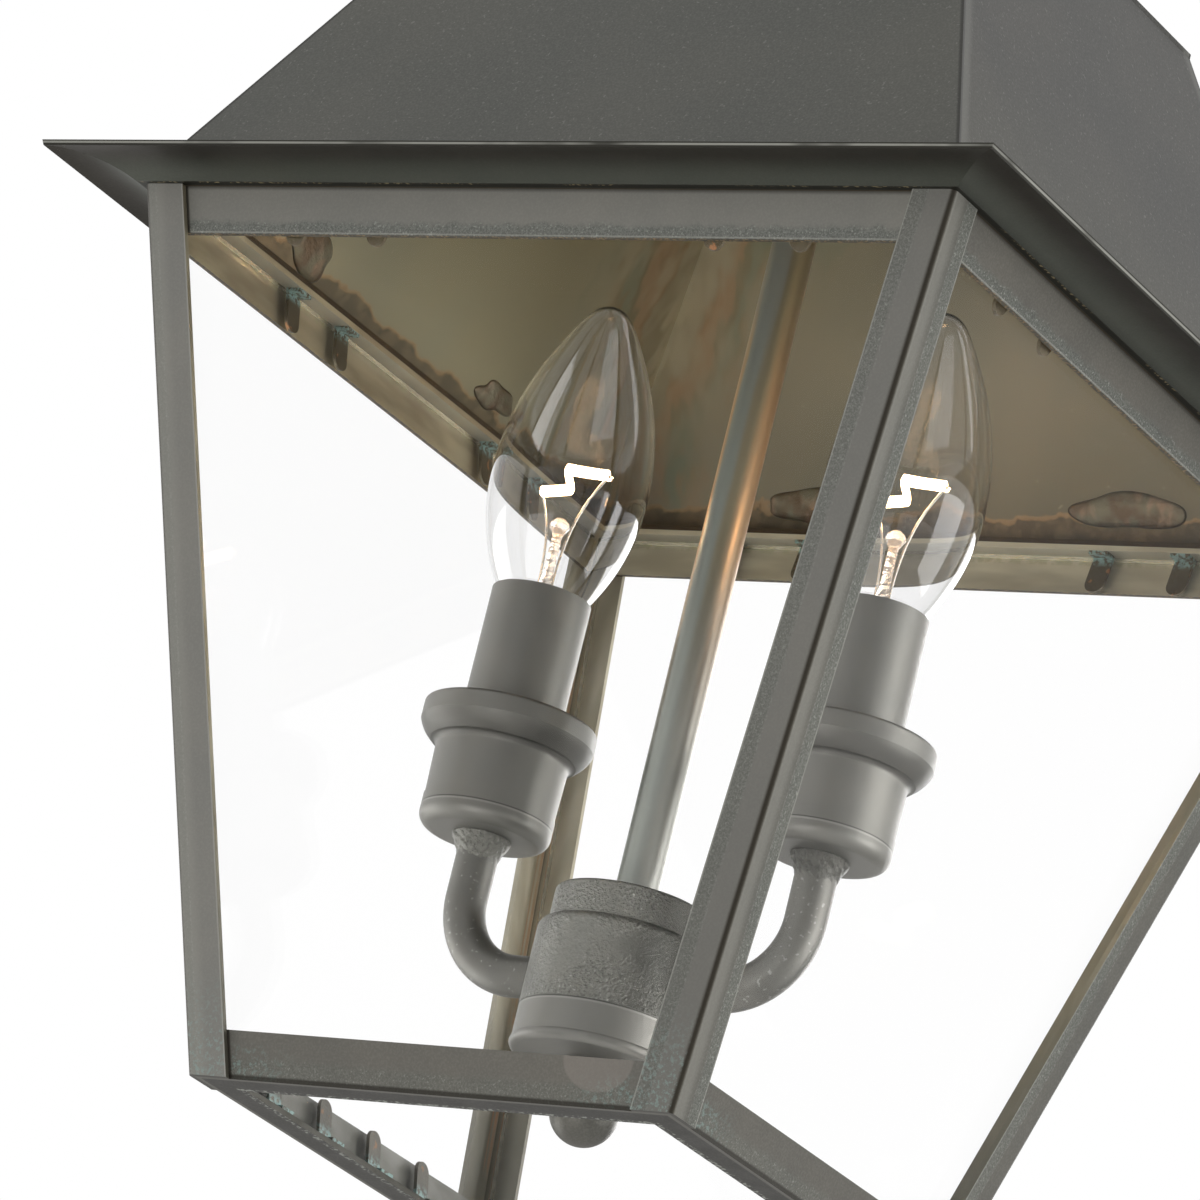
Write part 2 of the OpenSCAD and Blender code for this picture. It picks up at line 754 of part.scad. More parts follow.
// Loop under the ceiling: a shank in the crossbar, a wide thread and a ring
module canopy_loop() {
  color(bronze) {
    translate([0, 0, neck_z1 - 0.1]) cylinder(d = bar_hole_d - 2 * shank_gap, h = -neck_z1 + 0.1);
    translate([0, 0, neck_z0]) cylinder(d = thread_d, h = neck_z1 - neck_z0);
    translate([0, 0, hook_z]) rotate([90, 0, 0]) rotate_extrude() translate([hook_r, 0]) circle(d = hook_wire);
  }
}

module loop_locknut() {
  color(nickel) translate([0, 0, -bar_t]) mirror([0, 0, 1]) nut(bar_hole_d);
}

// Flat bar that screws to the ceiling box and carries the loop
module crossbar() {
  color(nickel) difference() {
    translate([-bar_l / 2, -bar_w / 2, -bar_t]) cube([bar_l, bar_w, bar_t]);
    translate([0, 0, -bar_t - 1]) cylinder(d = bar_hole_d, h = bar_t + 2);
    for (s = [-1, 1]) translate([s * box_pitch / 2, 0, -bar_t - 1]) cylinder(d = box_hole_d, h = bar_t + 2);
  }
}

// Spun canopy: a flat centre, an ogee shoulder and a rim at the ceiling
module canopy() {
  r = canopy_d / 2;
  rim = 4;
  step = 6;
  shoulder = canopy_h - rim - step;
  color(bronze) difference() {
    rotate_extrude() intersection() {
      union() {
        translate([0, -0.3 - rim]) square([r, rim]);
        translate([0, -canopy_h]) square([r - 4 - shoulder, canopy_h - 1]);
        translate([r - 4 - shoulder, -rim - step]) circle(shoulder);
        translate([0, -rim - step]) square([r - 4, step]);
      }
      translate([0, -far]) square([far, far]);
    }
    rotate_extrude() intersection() {
      union() {
        translate([0, -rim]) square([r - sheet_t, rim + 1]);
        translate([0, -canopy_h + sheet_t]) square([r - 4 - shoulder, canopy_h]);
        translate([r - 4 - shoulder, -rim - step]) circle(shoulder - sheet_t);
        translate([0, -rim - step]) square([r - 4 - sheet_t, step + 1]);
      }
      translate([0, -far]) square([far, far + 1]);
    }
    translate([0, 0, -canopy_h - 1]) cylinder(d = thread_d + 2 * canopy_gap, h = canopy_h);
  }
}

// Knurled collar that screws up the loop's thread and holds the canopy
module screw_collar() {
  color(bronze) translate([0, 0, -canopy_h - collar_h]) difference() {
    rotate_extrude() union() {
      square([collar_d / 2 - 2, collar_h]);
      translate([0, 2]) square([collar_d / 2, collar_h - 2]);
      translate([collar_d / 2 - 2, 2]) circle(2);
    }
    translate([0, 0, -1]) cylinder(d = thread_d + 2 * collar_gap, h = collar_h + 2);
  }
}

corner_post(0);  // post_front_left
corner_post(1);  // post_front_right
corner_post(2);  // post_back_right
corner_post(3);  // post_back_left
top_rail(0);  // top_rail_front
top_rail(1);  // top_rail_right
top_rail(2);  // top_rail_back
top_rail(3);  // top_rail_left
bottom_rail(0);  // bottom_rail_front
bottom_rail(1);  // bottom_rail_right
bottom_rail(2);  // bottom_rail_back
bottom_rail(3);  // bottom_rail_left
glass_pane(0);  // glass_front
glass_pane(1);  // glass_right
glass_pane(2);  // glass_back
glass_pane(3);  // glass_left
brim(0);  // brim_front
brim(1);  // brim_right
brim(2);  // brim_back
brim(3);  // brim_left
roof_panel(0);  // roof_front
roof_panel(1);  // roof_right
roof_panel(2);  // roof_back
roof_panel(3);  // roof_left
roof_plate();
chimney();
chimney_cap();
lantern_loop();
top_clips();
bottom_clips();
stem();
stem_nuts();
hub_cap();
hub_body();
hub_cover();
hub_finial();
arm(-1);  // arm_left
arm(1);  // arm_right
cup(-1);  // cup_left
cup(1);  // cup_right
lampholder(-1);  // lampholder_left
lampholder(1);  // lampholder_right
candle(-1);  // candle_left
candle(1);  // candle_right
bulb_glass(-1);  // bulb_glass_left
bulb_glass(1);  // bulb_glass_right
bulb_base(-1);  // bulb_base_left
bulb_base(1);  // bulb_base_right
bulb_mount(-1);  // bulb_mount_left
bulb_mount(1);  // bulb_mount_right
chain_link(0);  // chain_link_1
chain_link(1);  // chain_link_2
chain_link(2);  // chain_link_3
canopy();
screw_collar();
canopy_loop();
loop_locknut();
crossbar();
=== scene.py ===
# %% [markdown]
# # A small glazed brass lantern on a short chain
#
# The object is an outdoor pendant light: a tapered, four-sided lantern of folded brass, finished with a
# charcoal patina, with clear panes, a hipped roof, an open bottom and two candle bulbs on bent arms.
# The construction comes packed as a fixed frame, in metres, with +Z up and the origin at the ceiling.
# This script gives every piece its finish and adds the pieces that are too fine for the frame: solder
# and braze, bulb glass, filaments and screw threads.

# %% Load the frame
import math

import bpy
import numpy as np
from mathutils import Matrix, Vector


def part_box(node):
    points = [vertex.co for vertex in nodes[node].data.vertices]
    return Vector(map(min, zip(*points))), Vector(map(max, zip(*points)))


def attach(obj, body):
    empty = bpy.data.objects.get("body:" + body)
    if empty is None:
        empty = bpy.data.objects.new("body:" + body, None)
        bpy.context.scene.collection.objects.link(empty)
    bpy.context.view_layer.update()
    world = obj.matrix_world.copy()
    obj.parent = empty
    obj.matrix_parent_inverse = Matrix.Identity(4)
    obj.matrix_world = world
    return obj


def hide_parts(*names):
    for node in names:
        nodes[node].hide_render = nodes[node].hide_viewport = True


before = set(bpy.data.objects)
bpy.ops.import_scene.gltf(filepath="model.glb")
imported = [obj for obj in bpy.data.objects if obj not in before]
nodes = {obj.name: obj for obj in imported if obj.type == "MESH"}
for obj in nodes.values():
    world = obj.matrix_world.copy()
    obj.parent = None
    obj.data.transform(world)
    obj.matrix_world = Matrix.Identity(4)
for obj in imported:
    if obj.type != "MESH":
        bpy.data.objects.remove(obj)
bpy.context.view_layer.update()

# %% [markdown]
# Before anything is drawn, the lantern's own sizes are read back from the frame, so that every pattern
# and every added piece follows it. The four faces lean outwards: half the width grows steadily from
# the foot of the posts to their top.

# %% Measure the lantern
MM = 0.001


def corners(name):
    """The vertices of a node as an array of points."""
    mesh = nodes[name].data
    flat = np.empty(3 * len(mesh.vertices), np.float32)
    mesh.vertices.foreach_get("co", flat)
    return flat.reshape(-1, 3).astype(float)


post = corners("post_front_right")
foot_z, head_z = post[:, 2].min(), post[:, 2].max()
foot_half = post[post[:, 2] < foot_z + 0.1 * MM, 0].max()
head_half = post[:, 0].max()
slope = (head_half - foot_half) / (head_z - foot_z)
roof_low, roof_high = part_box("roof_front")
roof_foot_z, roof_head_z = roof_low.z, roof_high.z
roof_foot_half = roof_high.x
roof = corners("roof_front")
roof_head_half = roof[roof[:, 2] > roof_head_z - 0.1 * MM, 0].max()
lip_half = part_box("brim_front")[1].x
brim = corners("brim_front")
lip = brim[-brim[:, 1] > lip_half - 0.6 * MM, 2]
lip_z = (lip.min() + lip.max()) / 2
arm_x = (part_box("candle_right")[0].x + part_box("candle_right")[1].x) / 2
print(f"posts: {foot_z:.4f} to {head_z:.4f}, half width {foot_half:.4f} to {head_half:.4f}")
print(f"roof: half width {roof_foot_half:.4f} to {roof_head_half:.4f}, lip {lip_half:.4f}, arms {arm_x:.4f}")

# %% [markdown]
# ## The camera
#
# The photograph is a close crop taken with a long lens from below, and the picture is rolled. A camera
# can be set by typing a matrix, but it is easier to read as a photographer's words: what it aims at,
# how far away it stands, from which side and height it looks, and how far it is tilted.

# %% Camera
AIM = Vector((-0.0188, -0.0127, -0.3743))
DISTANCE = 1.7143
AZIMUTH = math.radians(34.09)
ELEVATION = math.radians(-17.67)
ROLL = math.radians(13.89)
HALF_VIEW = 600 / 7967.2

away = Vector((
    math.sin(AZIMUTH) * math.cos(ELEVATION),
    -math.cos(AZIMUTH) * math.cos(ELEVATION),
    math.sin(ELEVATION),
))
lens = bpy.data.cameras.new("camera")
lens.sensor_width = 36
lens.lens = 18 / HALF_VIEW
lens.clip_start, lens.clip_end = 0.05, 200
camera = bpy.data.objects.new("camera", lens)
turn = away.to_track_quat("Z", "Y").to_matrix() @ Matrix.Rotation(ROLL, 3, "Z")
camera.matrix_world = Matrix.Translation(AIM + DISTANCE * away) @ turn.to_4x4()
bpy.context.scene.collection.objects.link(camera)
bpy.context.scene.camera = camera
print("camera at", [round(v, 3) for v in camera.matrix_world.translation], "lens", round(lens.lens, 1))

# %% [markdown]
# ## Light
#
# A product photograph on white has light from all sides, and here the world gives that. The camera,
# mirrors and glass see the background as pure white through Light Path, so the background needs no
# extra light on the object. On the side behind the camera, mirrors see it darker.

# %% World


def linear(hex_colour):
    """sRGB hex colour to linear red, green, blue and alpha, by the sRGB curve."""
    srgb = np.array([int(hex_colour[i:i + 2], 16) for i in (1, 3, 5)]) / 255
    rgb = np.where(srgb <= 0.04045, srgb / 12.92, ((srgb + 0.055) / 1.055) ** 2.4)
    return (*rgb.tolist(), 1.0)


def add(tree, kind, inputs=None, out=0, **settings):
    """Adds a node with its settings, fills its inputs with values or other outputs, and returns an output."""
    node = tree.nodes.new(kind)
    for name, value in settings.items():
        setattr(node, name, value)
    for key, value in (inputs or {}).items():
        if isinstance(value, bpy.types.NodeSocket):
            tree.links.new(value, node.inputs[key])
        else:
            node.inputs[key].default_value = value
    return node.outputs[out] if node.outputs else None


def maths(tree, operation, *values):
    """A Math node on one to three values."""
    return add(tree, "ShaderNodeMath", dict(enumerate(values)), operation=operation)


def vector_maths(tree, operation, *vectors):
    """A Vector Math node: the number that a dot product or a length gives, and else a vector."""
    out = 1 if operation in ("DOT_PRODUCT", "LENGTH") else 0
    return add(tree, "ShaderNodeVectorMath", dict(enumerate(vectors)), out, operation=operation)


def seen_directly(tree):
    """1 for rays from the camera, from a mirror or through glass, and 0 for light that falls on things."""
    camera, mirror, glass = (add(tree, "ShaderNodeLightPath", out=f"Is {kind} Ray")
                             for kind in ("Camera", "Glossy", "Transmission"))
    return maths(tree, "MAXIMUM", maths(tree, "MAXIMUM", camera, mirror), glass)


AMBIENT = 0.45
DARK_SIDE = 0.30
DARK_FROM, DARK_TO = 0.26, 0.85

world = bpy.data.worlds.new("studio")
world.use_nodes = True
tree = world.node_tree
tree.nodes.clear()
toward_camera = vector_maths(
    tree, "DOT_PRODUCT", add(tree, "ShaderNodeTexCoord", out="Generated"), tuple(away))
mirrored = add(tree, "ShaderNodeMapRange", {
    "Value": toward_camera, "From Min": DARK_FROM, "From Max": DARK_TO, "To Min": 1.0, "To Max": DARK_SIDE,
}, interpolation_type="SMOOTHSTEP")
glossy = add(tree, "ShaderNodeLightPath", out="Is Glossy Ray")
level = add(tree, "ShaderNodeMix", {0: seen_directly(tree), 2: AMBIENT, 3: 1.0})
level = add(tree, "ShaderNodeMix", {0: glossy, 2: level, 3: mirrored})
light = add(tree, "ShaderNodeBackground", {"Color": linear("#ffffff"), "Strength": level})
add(tree, "ShaderNodeOutputWorld", {"Surface": light})
bpy.context.scene.world = world
print("world:", len(tree.nodes), "nodes")

# %% [markdown]
# Four large soft lamps shape the metal, one from each side, and all face the middle of the lantern.

# %% Lamps


def soft_lamp(name, place, size, watts):
    """A square white area lamp that faces the middle of the lantern."""
    data = bpy.data.lights.new(name, "AREA")
    data.size = size
    data.energy = watts
    lamp = bpy.data.objects.new(name, data)
    lamp.location = place
    lamp.rotation_euler = (Vector(place) - AIM).to_track_quat("Z", "Y").to_euler()
    bpy.context.scene.collection.objects.link(lamp)


soft_lamp("left_lamp", (-1.7, -0.15, -1.0), 1.5, 13)
soft_lamp("front_lamp", (0.0, -2.0, -1.5), 1.7, 12)
soft_lamp("right_lamp", (1.95, 0.5, -0.5), 1.4, 18)
soft_lamp("back_lamp", (-0.1, 2.1, 0.0), 1.2, 12)

# %% [markdown]
# The floor is a plain pale sheet, well below the lantern, as in a room with a ceiling 2.4 m high. Its back
# is clear, so that a viewer who looks up from under it still sees the lantern.

# %% Floor
FLOOR_Z, FLOOR_HALF, FLOOR_LIFT = -2.4, 40, 0.25

floor_mesh = bpy.data.meshes.new("floor")
floor_mesh.from_pydata(
    [(x * FLOOR_HALF, y * FLOOR_HALF, FLOOR_Z) for x, y in ((-1, -1), (1, -1), (1, 1), (-1, 1))],
    [], [(0, 1, 2, 3)])
floor = bpy.data.objects.new("floor", floor_mesh)
bpy.context.scene.collection.objects.link(floor)
paper = bpy.data.materials.new("matte_paper_floor")
paper.use_nodes = True
tree = paper.node_tree
tree.nodes.clear()
matte = add(tree, "ShaderNodeBsdfDiffuse", {"Color": linear("#f1f0ed")})
lift = add(tree, "ShaderNodeEmission", {"Color": linear("#ffffff"), "Strength": FLOOR_LIFT})
shown = add(tree, "ShaderNodeMixShader", {
    0: seen_directly(tree),
    1: matte,
    2: add(tree, "ShaderNodeAddShader", {0: matte, 1: lift}),
})
shown = add(tree, "ShaderNodeMixShader", {
    0: add(tree, "ShaderNodeNewGeometry", out="Backfacing"),
    1: shown,
    2: add(tree, "ShaderNodeBsdfTransparent"),
})
add(tree, "ShaderNodeOutputMaterial", {"Surface": shown})
floor_mesh.materials.append(paper)
bpy.context.scene.view_settings.view_transform = "Standard"
print("floor at", FLOOR_Z)

# %% [markdown]
# ## The charcoal patina
#
# The lantern is brass that was darkened with a chemical patina and then lacquered. The layer is part
# metal and part oxide, so it is less shiny than polished metal and its colour drifts in soft clouds.
# It stays rough and dark along the free edges, where the bath dried last. One function lays that
# finish, and each kind of piece gives its own colour, grain and marks on top. The marks are masks that
# follow the piece: their numbers are metres from its corner, its foot or its edge, measured in the
# photograph, and the size of each noise is that of the patches on the real metal.

# %% Masks and noise


def new_material(name):
    """An empty node material and its tree."""
    material = bpy.data.materials.new(name)
    material.use_nodes = True
    material.node_tree.nodes.clear()
    return material, material.node_tree


def band(tree, value, low, high):
    """0 where value is below low and 1 above high, with a smooth step between. Where low is above high,
    it is 1 below high and 0 above low."""
    return add(tree, "ShaderNodeMapRange", {
        "Value": value, "From Min": min(low, high), "From Max": max(low, high),
        "To Min": 0.0 if low < high else 1.0, "To Max": 1.0 if low < high else 0.0,
    }, interpolation_type="SMOOTHSTEP")


def scaled(tree, value, factor, offset=0.0):
    """value times factor, plus offset."""
    return maths(tree, "MULTIPLY_ADD", value, factor, offset)


def both(tree, a, b):
    """The product of two masks."""
    return maths(tree, "MULTIPLY", a, b)


def stripe(tree, value, middle, half, soft):
    """1 where value is within half of middle, falling to 0 over the distance soft on both sides."""
    return both(tree, band(tree, value, middle - half - soft, middle - half),
                band(tree, value, middle + half + soft, middle + half))


def tinted(tree, amount, base, tint):
    """base where amount is 0 and tint where it is 1. Each is an output or a hex colour."""
    base, tint = (linear(colour) if isinstance(colour, str) else colour for colour in (base, tint))
    return add(tree, "ShaderNodeMix", {0: amount, 6: base, 7: tint}, out=2, data_type="RGBA")


def marked(tree, base, mask, amount, colour):
    """base with a mark on it: the mask says where, amount from 0 to 1 how strongly. Colour is a hex."""
    return tinted(tree, scaled(tree, mask, amount), base, colour)


def clouds(tree, where, size, detail=3.0, rough=0.55, stretch=(1, 1, 1)):
    """Soft noise from 0 to 1 with patches about size metres across, drawn out along each axis by stretch."""
    scale = tuple(1 / (size * s) for s in stretch)
    placed = add(tree, "ShaderNodeMapping", {"Vector": where, "Scale": scale})
    return add(tree, "ShaderNodeTexNoise", {
        "Vector": placed, "Scale": 1.0, "Detail": detail, "Roughness": rough})


def spots(tree, where, size, low, high, *noise):
    """Patches about size metres across, 1 inside and 0 between them: the noise of clouds, cut off from low
    to high. Low above high turns them round."""
    return band(tree, clouds(tree, where, size, *noise), low, high)


def wavering(tree, value, reach, noise):
    """value moved to and fro by up to half of reach, as the noise goes from 0 to 1."""
    return maths(tree, "ADD", value, scaled(tree, noise, reach, -reach / 2))


print("mask helpers are ready")

# %% [markdown]
# Under every mark lies the same patina: clouds of a darker and a warmer shade of one colour, and a fine
# pale grain. The relief is a bump, because the grains are far too small to be modelled.

# %% Patina and coat


def axes(tree):
    """The place on the piece, and its x, y and z."""
    where = add(tree, "ShaderNodeTexCoord", out="Object")
    split = add(tree, "ShaderNodeSeparateXYZ", {0: where}).node
    return where, *split.outputs


def patina(tree, where, colour, cloud_size=0.02, depth=0.05, grains=0.07):
    """A colour drifting between a darker and a warmer shade of itself, in clouds and in a fine grain."""
    dark = tinted(tree, depth, colour, "#1d1c18")
    warm = tinted(tree, depth, colour, "#9c8f7c")
    mottled = tinted(tree, spots(tree, where, cloud_size, 0.3, 0.7), dark, warm)
    grain = spots(tree, where, 0.0005, 0.35, 0.75, 1.0)
    return marked(tree, mottled, grain, grains, "#b4b2aa")


def coat(tree, colour, roughness, metallic, height, bump, reach=0.0002):
    """The shader of a patinated metal, with colour and roughness from the pattern. Height makes the relief,
    bump strong and reach metres deep."""
    shader = add(tree, "ShaderNodeBsdfPrincipled", {
        "Base Color": colour, "Metallic": metallic, "Roughness": roughness,
        "Normal": add(tree, "ShaderNodeBump", {"Height": height, "Strength": bump, "Distance": reach}),
    })
    add(tree, "ShaderNodeOutputMaterial", {"Surface": shader})


print("patina is ready")

# %% [markdown]
# ## Posts and rails
#
# The marks on the frame follow its tapered corners. So the shader first works out rulers from the place
# of each point, one set for all four corners, and the marks are laid along them.

# %% Rulers on the frame
POST_LEG = 10 * MM
LAP = POST_LEG + 0.2 * MM
RAIL_TOP = head_z - foot_z
RAIL_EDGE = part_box("top_rail_front")[0].z - foot_z


def frame_places(tree):
    """Coordinates that follow the tapered frame: height above the foot, distance from the corner along a
    face, distance from the middle line of the corner, the same with a sign that tells the two flanges
    of a corner apart, and 1 on surfaces that face into the lantern."""
    where, x, y, z = axes(tree)
    quarter = maths(tree, "SIGN", both(tree, x, y))
    x, y = maths(tree, "ABSOLUTE", x), maths(tree, "ABSOLUTE", y)
    height = scaled(tree, z, 1.0, -foot_z)
    width = scaled(tree, height, slope, foot_half)
    along = maths(tree, "SUBTRACT", width, maths(tree, "MINIMUM", x, y))
    apart = maths(tree, "SUBTRACT", x, y)
    bend = maths(tree, "ABSOLUTE", apart)
    flange = both(tree, quarter, apart)
    outward = vector_maths(tree, "NORMALIZE", vector_maths(tree, "MULTIPLY", where, (1.0, 1.0, 0.0)))
    facing = vector_maths(tree, "DOT_PRODUCT", add(tree, "ShaderNodeTexCoord", out="Normal"), outward)
    inside = band(tree, facing, 0.05, -0.05)
    return where, height, along, bend, flange, inside


def normal_axes(tree):
    """The x, y and z of the way that the surface looks, in the piece's own coordinates."""
    return add(tree, "ShaderNodeSeparateXYZ", {0: add(tree, "ShaderNodeTexCoord", out="Normal")}).node.outputs


def looks(tree):
    """Whether a surface looks sideways, to the left or right, and whether it looks down, each 0 or 1."""
    x, _, z = normal_axes(tree)
    return band(tree, maths(tree, "ABSOLUTE", x), 0.35, 0.55), band(tree, z, -0.6, -0.85)


print("top rails:", round(RAIL_TOP - RAIL_EDGE, 4), "m high")

# %% [markdown]
# Each post is a folded angle. Its fold has a soft, dark painted reflection with a painted highlight beside
# it, a third of each flange is grainy where the bath dried last, and fine verdigris grows at its foot. Side
# faces and the front faces of the right-hand posts have painted shade, and the free edges a painted
# highlight. Inside it is lacquered brass, olive with long streaks, with painted shade in the inner corner.

# %% Posts
GRAIN = 0.4 * MM
COPPER = "#b57f55"
# The second colour is painted shade: faces that look to the left or right get a darker copy of the post
# colour.
POST_COLOUR, POST_SHADED_SIDE = "#7f7e79", "#595852"


def sparkle(tree, where, base, zone, strength, dark="#50544e", light="#82867f"):
    """The skin that dried last: inside zone the base turns to dark and light grains, a few of them bright."""
    grain = spots(tree, where, GRAIN, 0.40, 0.62, 2.0, 0.7)
    base = tinted(tree, scaled(tree, zone, strength), base, tinted(tree, grain, dark, light))
    bright = spots(tree, where, 1.4 * GRAIN, 0.62, 0.70, 1.0)
    return marked(tree, base, both(tree, zone, bright), strength * 0.8, "#b0b3ab")


def olive_inside(tree, streak, light="#cabf9f", dark="#a99b7f"):
    """The lacquered brass inside the frame: olive, darker in long streaks."""
    return tinted(tree, band(tree, streak, 0.3, 0.75), dark, light)


def folded_coat(tree, where, base):
    """The surface of folded sheet: roughness that drifts in clouds, and a fine skin."""
    rough = scaled(tree, clouds(tree, where, 0.006), 0.14, 0.42)
    coat(tree, base, rough, 0.6, clouds(tree, where, 0.0007, 2.0), 0.08)


def post_patina():
    """Finish of the posts."""
    material, tree = new_material("post_charcoal_patina")
    where, height, along, bend, flange, inside = frame_places(tree)
    sideways, down = looks(tree)
    base = patina(tree, where, tinted(tree, sideways, POST_COLOUR, POST_SHADED_SIDE))
    right = band(tree, axes(tree)[1], -0.001, 0.001)
    edge = wavering(tree, along, 0.002, clouds(tree, where, 0.012, 2.0, 0.5, (1, 1, 4)))
    near_fold = scaled(tree, band(tree, edge, 0.0040, 0.0028), 0.45)
    near_rim = band(tree, edge, 0.0058, 0.0068)
    base = sparkle(tree, where, base, add(tree, "ShaderNodeMix", {0: right, 2: near_fold, 3: near_rim}), 0.42)
    left_line = stripe(tree, along, 0.0030, 0.0001, 0.0002)
    right_line = stripe(tree, along, 0.0062, 0.0001, 0.0002)
    line = add(tree, "ShaderNodeMix", {0: right, 2: left_line, 3: right_line})
    dots = spots(tree, where, 0.0006, 0.46, 0.6, 2.0, 0.7)
    base = marked(tree, base, both(tree, line, dots), 0.22, "#aeb0aa")
    # Painted shade: on the two right-hand posts, the faces that look to front or back are darker, most of all
    # low down.
    painted_front_shade = both(tree, right, band(tree, scaled(tree, sideways, -1.0, 1.0), 0.4, 0.6))
    painted_front_shade = both(tree, painted_front_shade, scaled(tree, band(tree, height, 0.12, 0.02), 0.4, 0.6))
    base = marked(tree, base, painted_front_shade, 0.30, "#403e38")
    # Painted highlight: a lighter band on one flange of each corner, just beside the fold.
    painted_bend_highlight = both(tree, band(tree, flange, -0.0006, -0.0014), band(tree, flange, -0.0062, -0.0030))
    base = marked(tree, base, painted_bend_highlight, 0.30, "#9b9a92")
    # Painted highlight: a thin pale line along the free edge of each flange.
    rim = stripe(tree, along, POST_LEG - 0.0002, 0.0001, 0.0001)
    base = marked(tree, base, rim, 0.35, "#b7b6ae")
    # Painted dark reflection: a soft dark line along the rolled fold of each corner.
    painted_fold_reflection = band(tree, bend, 0.0016, 0.0003)
    base = marked(tree, base, painted_fold_reflection, 0.85, "#272115")
    low = band(tree, height, 0.024, 0.004)
    low = both(tree, low, band(tree, sideways, 0.6, 0.4))
    bloom = both(tree, low, spots(tree, where, 0.0009, 0.50, 0.62, 4.0, 0.7))
    base = marked(tree, base, bloom, 0.5, "#8aa09b")
    streak = clouds(tree, where, 0.005, 2.0, 0.5, (1, 1, 10))
    olive = tinted(tree, sideways, olive_inside(tree, streak, "#bcb6a2", "#a8a28d"),
                   olive_inside(tree, streak, "#c3bca4", "#a49c85"))
    # Painted shade in the inner corner of the angle.
    painted_crease_shade = stripe(tree, along, 0.0016, 0.0004, 0.0006)
    olive = marked(tree, olive, painted_crease_shade, 0.45, "#2f2a1f")
    olive = marked(tree, olive, band(tree, height, 0.09, 0.02), 0.8, "#6d6c65")
    copper = stripe(tree, along, 0.0034, 0.0002, 0.0003)
    copper = both(tree, copper, band(tree, streak, 0.35, 0.55))
    olive = marked(tree, olive, copper, 0.5, COPPER)
    base = tinted(tree, inside, base, olive)
    base = tinted(tree, down, base, "#45433d")
    folded_coat(tree, where, base)
    return material


POST = post_patina()
print("made", POST.name)

# %% [markdown]
# The bath stood along the lower edge of the top rails, which is grainy and nearly black, with a painted
# highlight along the very edge. They are olive inside too, with a broken painted highlight in the fold.
# Painted shade runs along their top, under the brim.

# %% Top rails
# Painted contact shadow with some grime: the dark line where a post's flange laps over a rail.
CONTACT_SHADE_AND_SOOT = "#2b261f"
# The second colour is painted shade for the faces that look to the left or right.
TOP_COLOUR, TOP_SHADED_SIDE = "#807f79", "#5c5a54"


def top_rail_patina():
    """Finish of the top rails."""
    material, tree = new_material("top_rail_charcoal_patina")
    where, height, along, _, _, inside = frame_places(tree)
    sideways, down = looks(tree)
    base = patina(tree, where, tinted(tree, sideways, TOP_COLOUR, TOP_SHADED_SIDE))
    above = wavering(tree, scaled(tree, height, 1.0, -RAIL_EDGE), 0.003, clouds(tree, where, 0.004, 3.0, 0.6))
    base = sparkle(tree, where, base, band(tree, above, 0.0034, 0.0016), 0.55, "#454a46", "#767b75")
    # Painted highlight: a thin pale line along the lower edge.
    painted_edge_highlight = stripe(tree, height, RAIL_EDGE + 0.0003, 0.0001, 0.0001)
    base = marked(tree, base, painted_edge_highlight, 0.35, "#b4b3aa")
    shade = band(tree, height, RAIL_TOP - 0.0010, RAIL_TOP)
    base = marked(tree, base, shade, 0.7, "#1f1b14")
    # Painted contact shadow with some grime where the post's flange laps over the rail.
    base = marked(tree, base, stripe(tree, along, LAP, 0.0003, 0.0004), 0.85, CONTACT_SHADE_AND_SOOT)
    streak = clouds(tree, where, 0.005, 2.0, 0.5, (4, 4, 1))
    olive = tinted(tree, sideways, olive_inside(tree, streak, "#ded8c0", "#c2bba3"),
                   olive_inside(tree, streak))
    # Painted highlight: a bright broken line along the fold inside.
    glow = stripe(tree, height, RAIL_TOP - 0.0022, 0.0004, 0.0006)
    broken = spots(tree, where, 0.0022, 0.42, 0.56, 3.0, 0.65)
    olive = marked(tree, olive, both(tree, glow, broken), 0.6, "#b3b08a")
    base = tinted(tree, inside, base, olive)
    under = both(tree, down, band(tree, height, RAIL_EDGE + 0.0030, RAIL_EDGE + 0.0018))
    raw = spots(tree, where, 0.0008, 0.50, 0.62, 3.0, 0.6)
    base = tinted(tree, under, base, tinted(tree, raw, "#474237", "#84704f"))
    folded_coat(tree, where, base)
    return material


TOP_RAIL = top_rail_patina()
print("made", TOP_RAIL.name)

# %% [markdown]
# The bottom rails have fine grain along the foot, verdigris near the corners, and a half round stain on
# the front one. Their side faces have painted shade, and a dark painted shade line runs along the bend at the
# foot. A pale ridge runs along the bend, the underside is dark, and inside is bare grey, with painted shadow
# near the level leg.

# %% Bottom rails
# The second colour is painted shade for the faces that look to the left or right.
BOTTOM_COLOUR, BOTTOM_SHADED_SIDE = "#67655f", "#5a5852"
STAIN_PLACE = (40.0 * MM, 0.0, foot_z + 10 * MM)
STAIN_SCALE = (1 / (8.4 * MM), 0.0, 1 / (6.8 * MM))


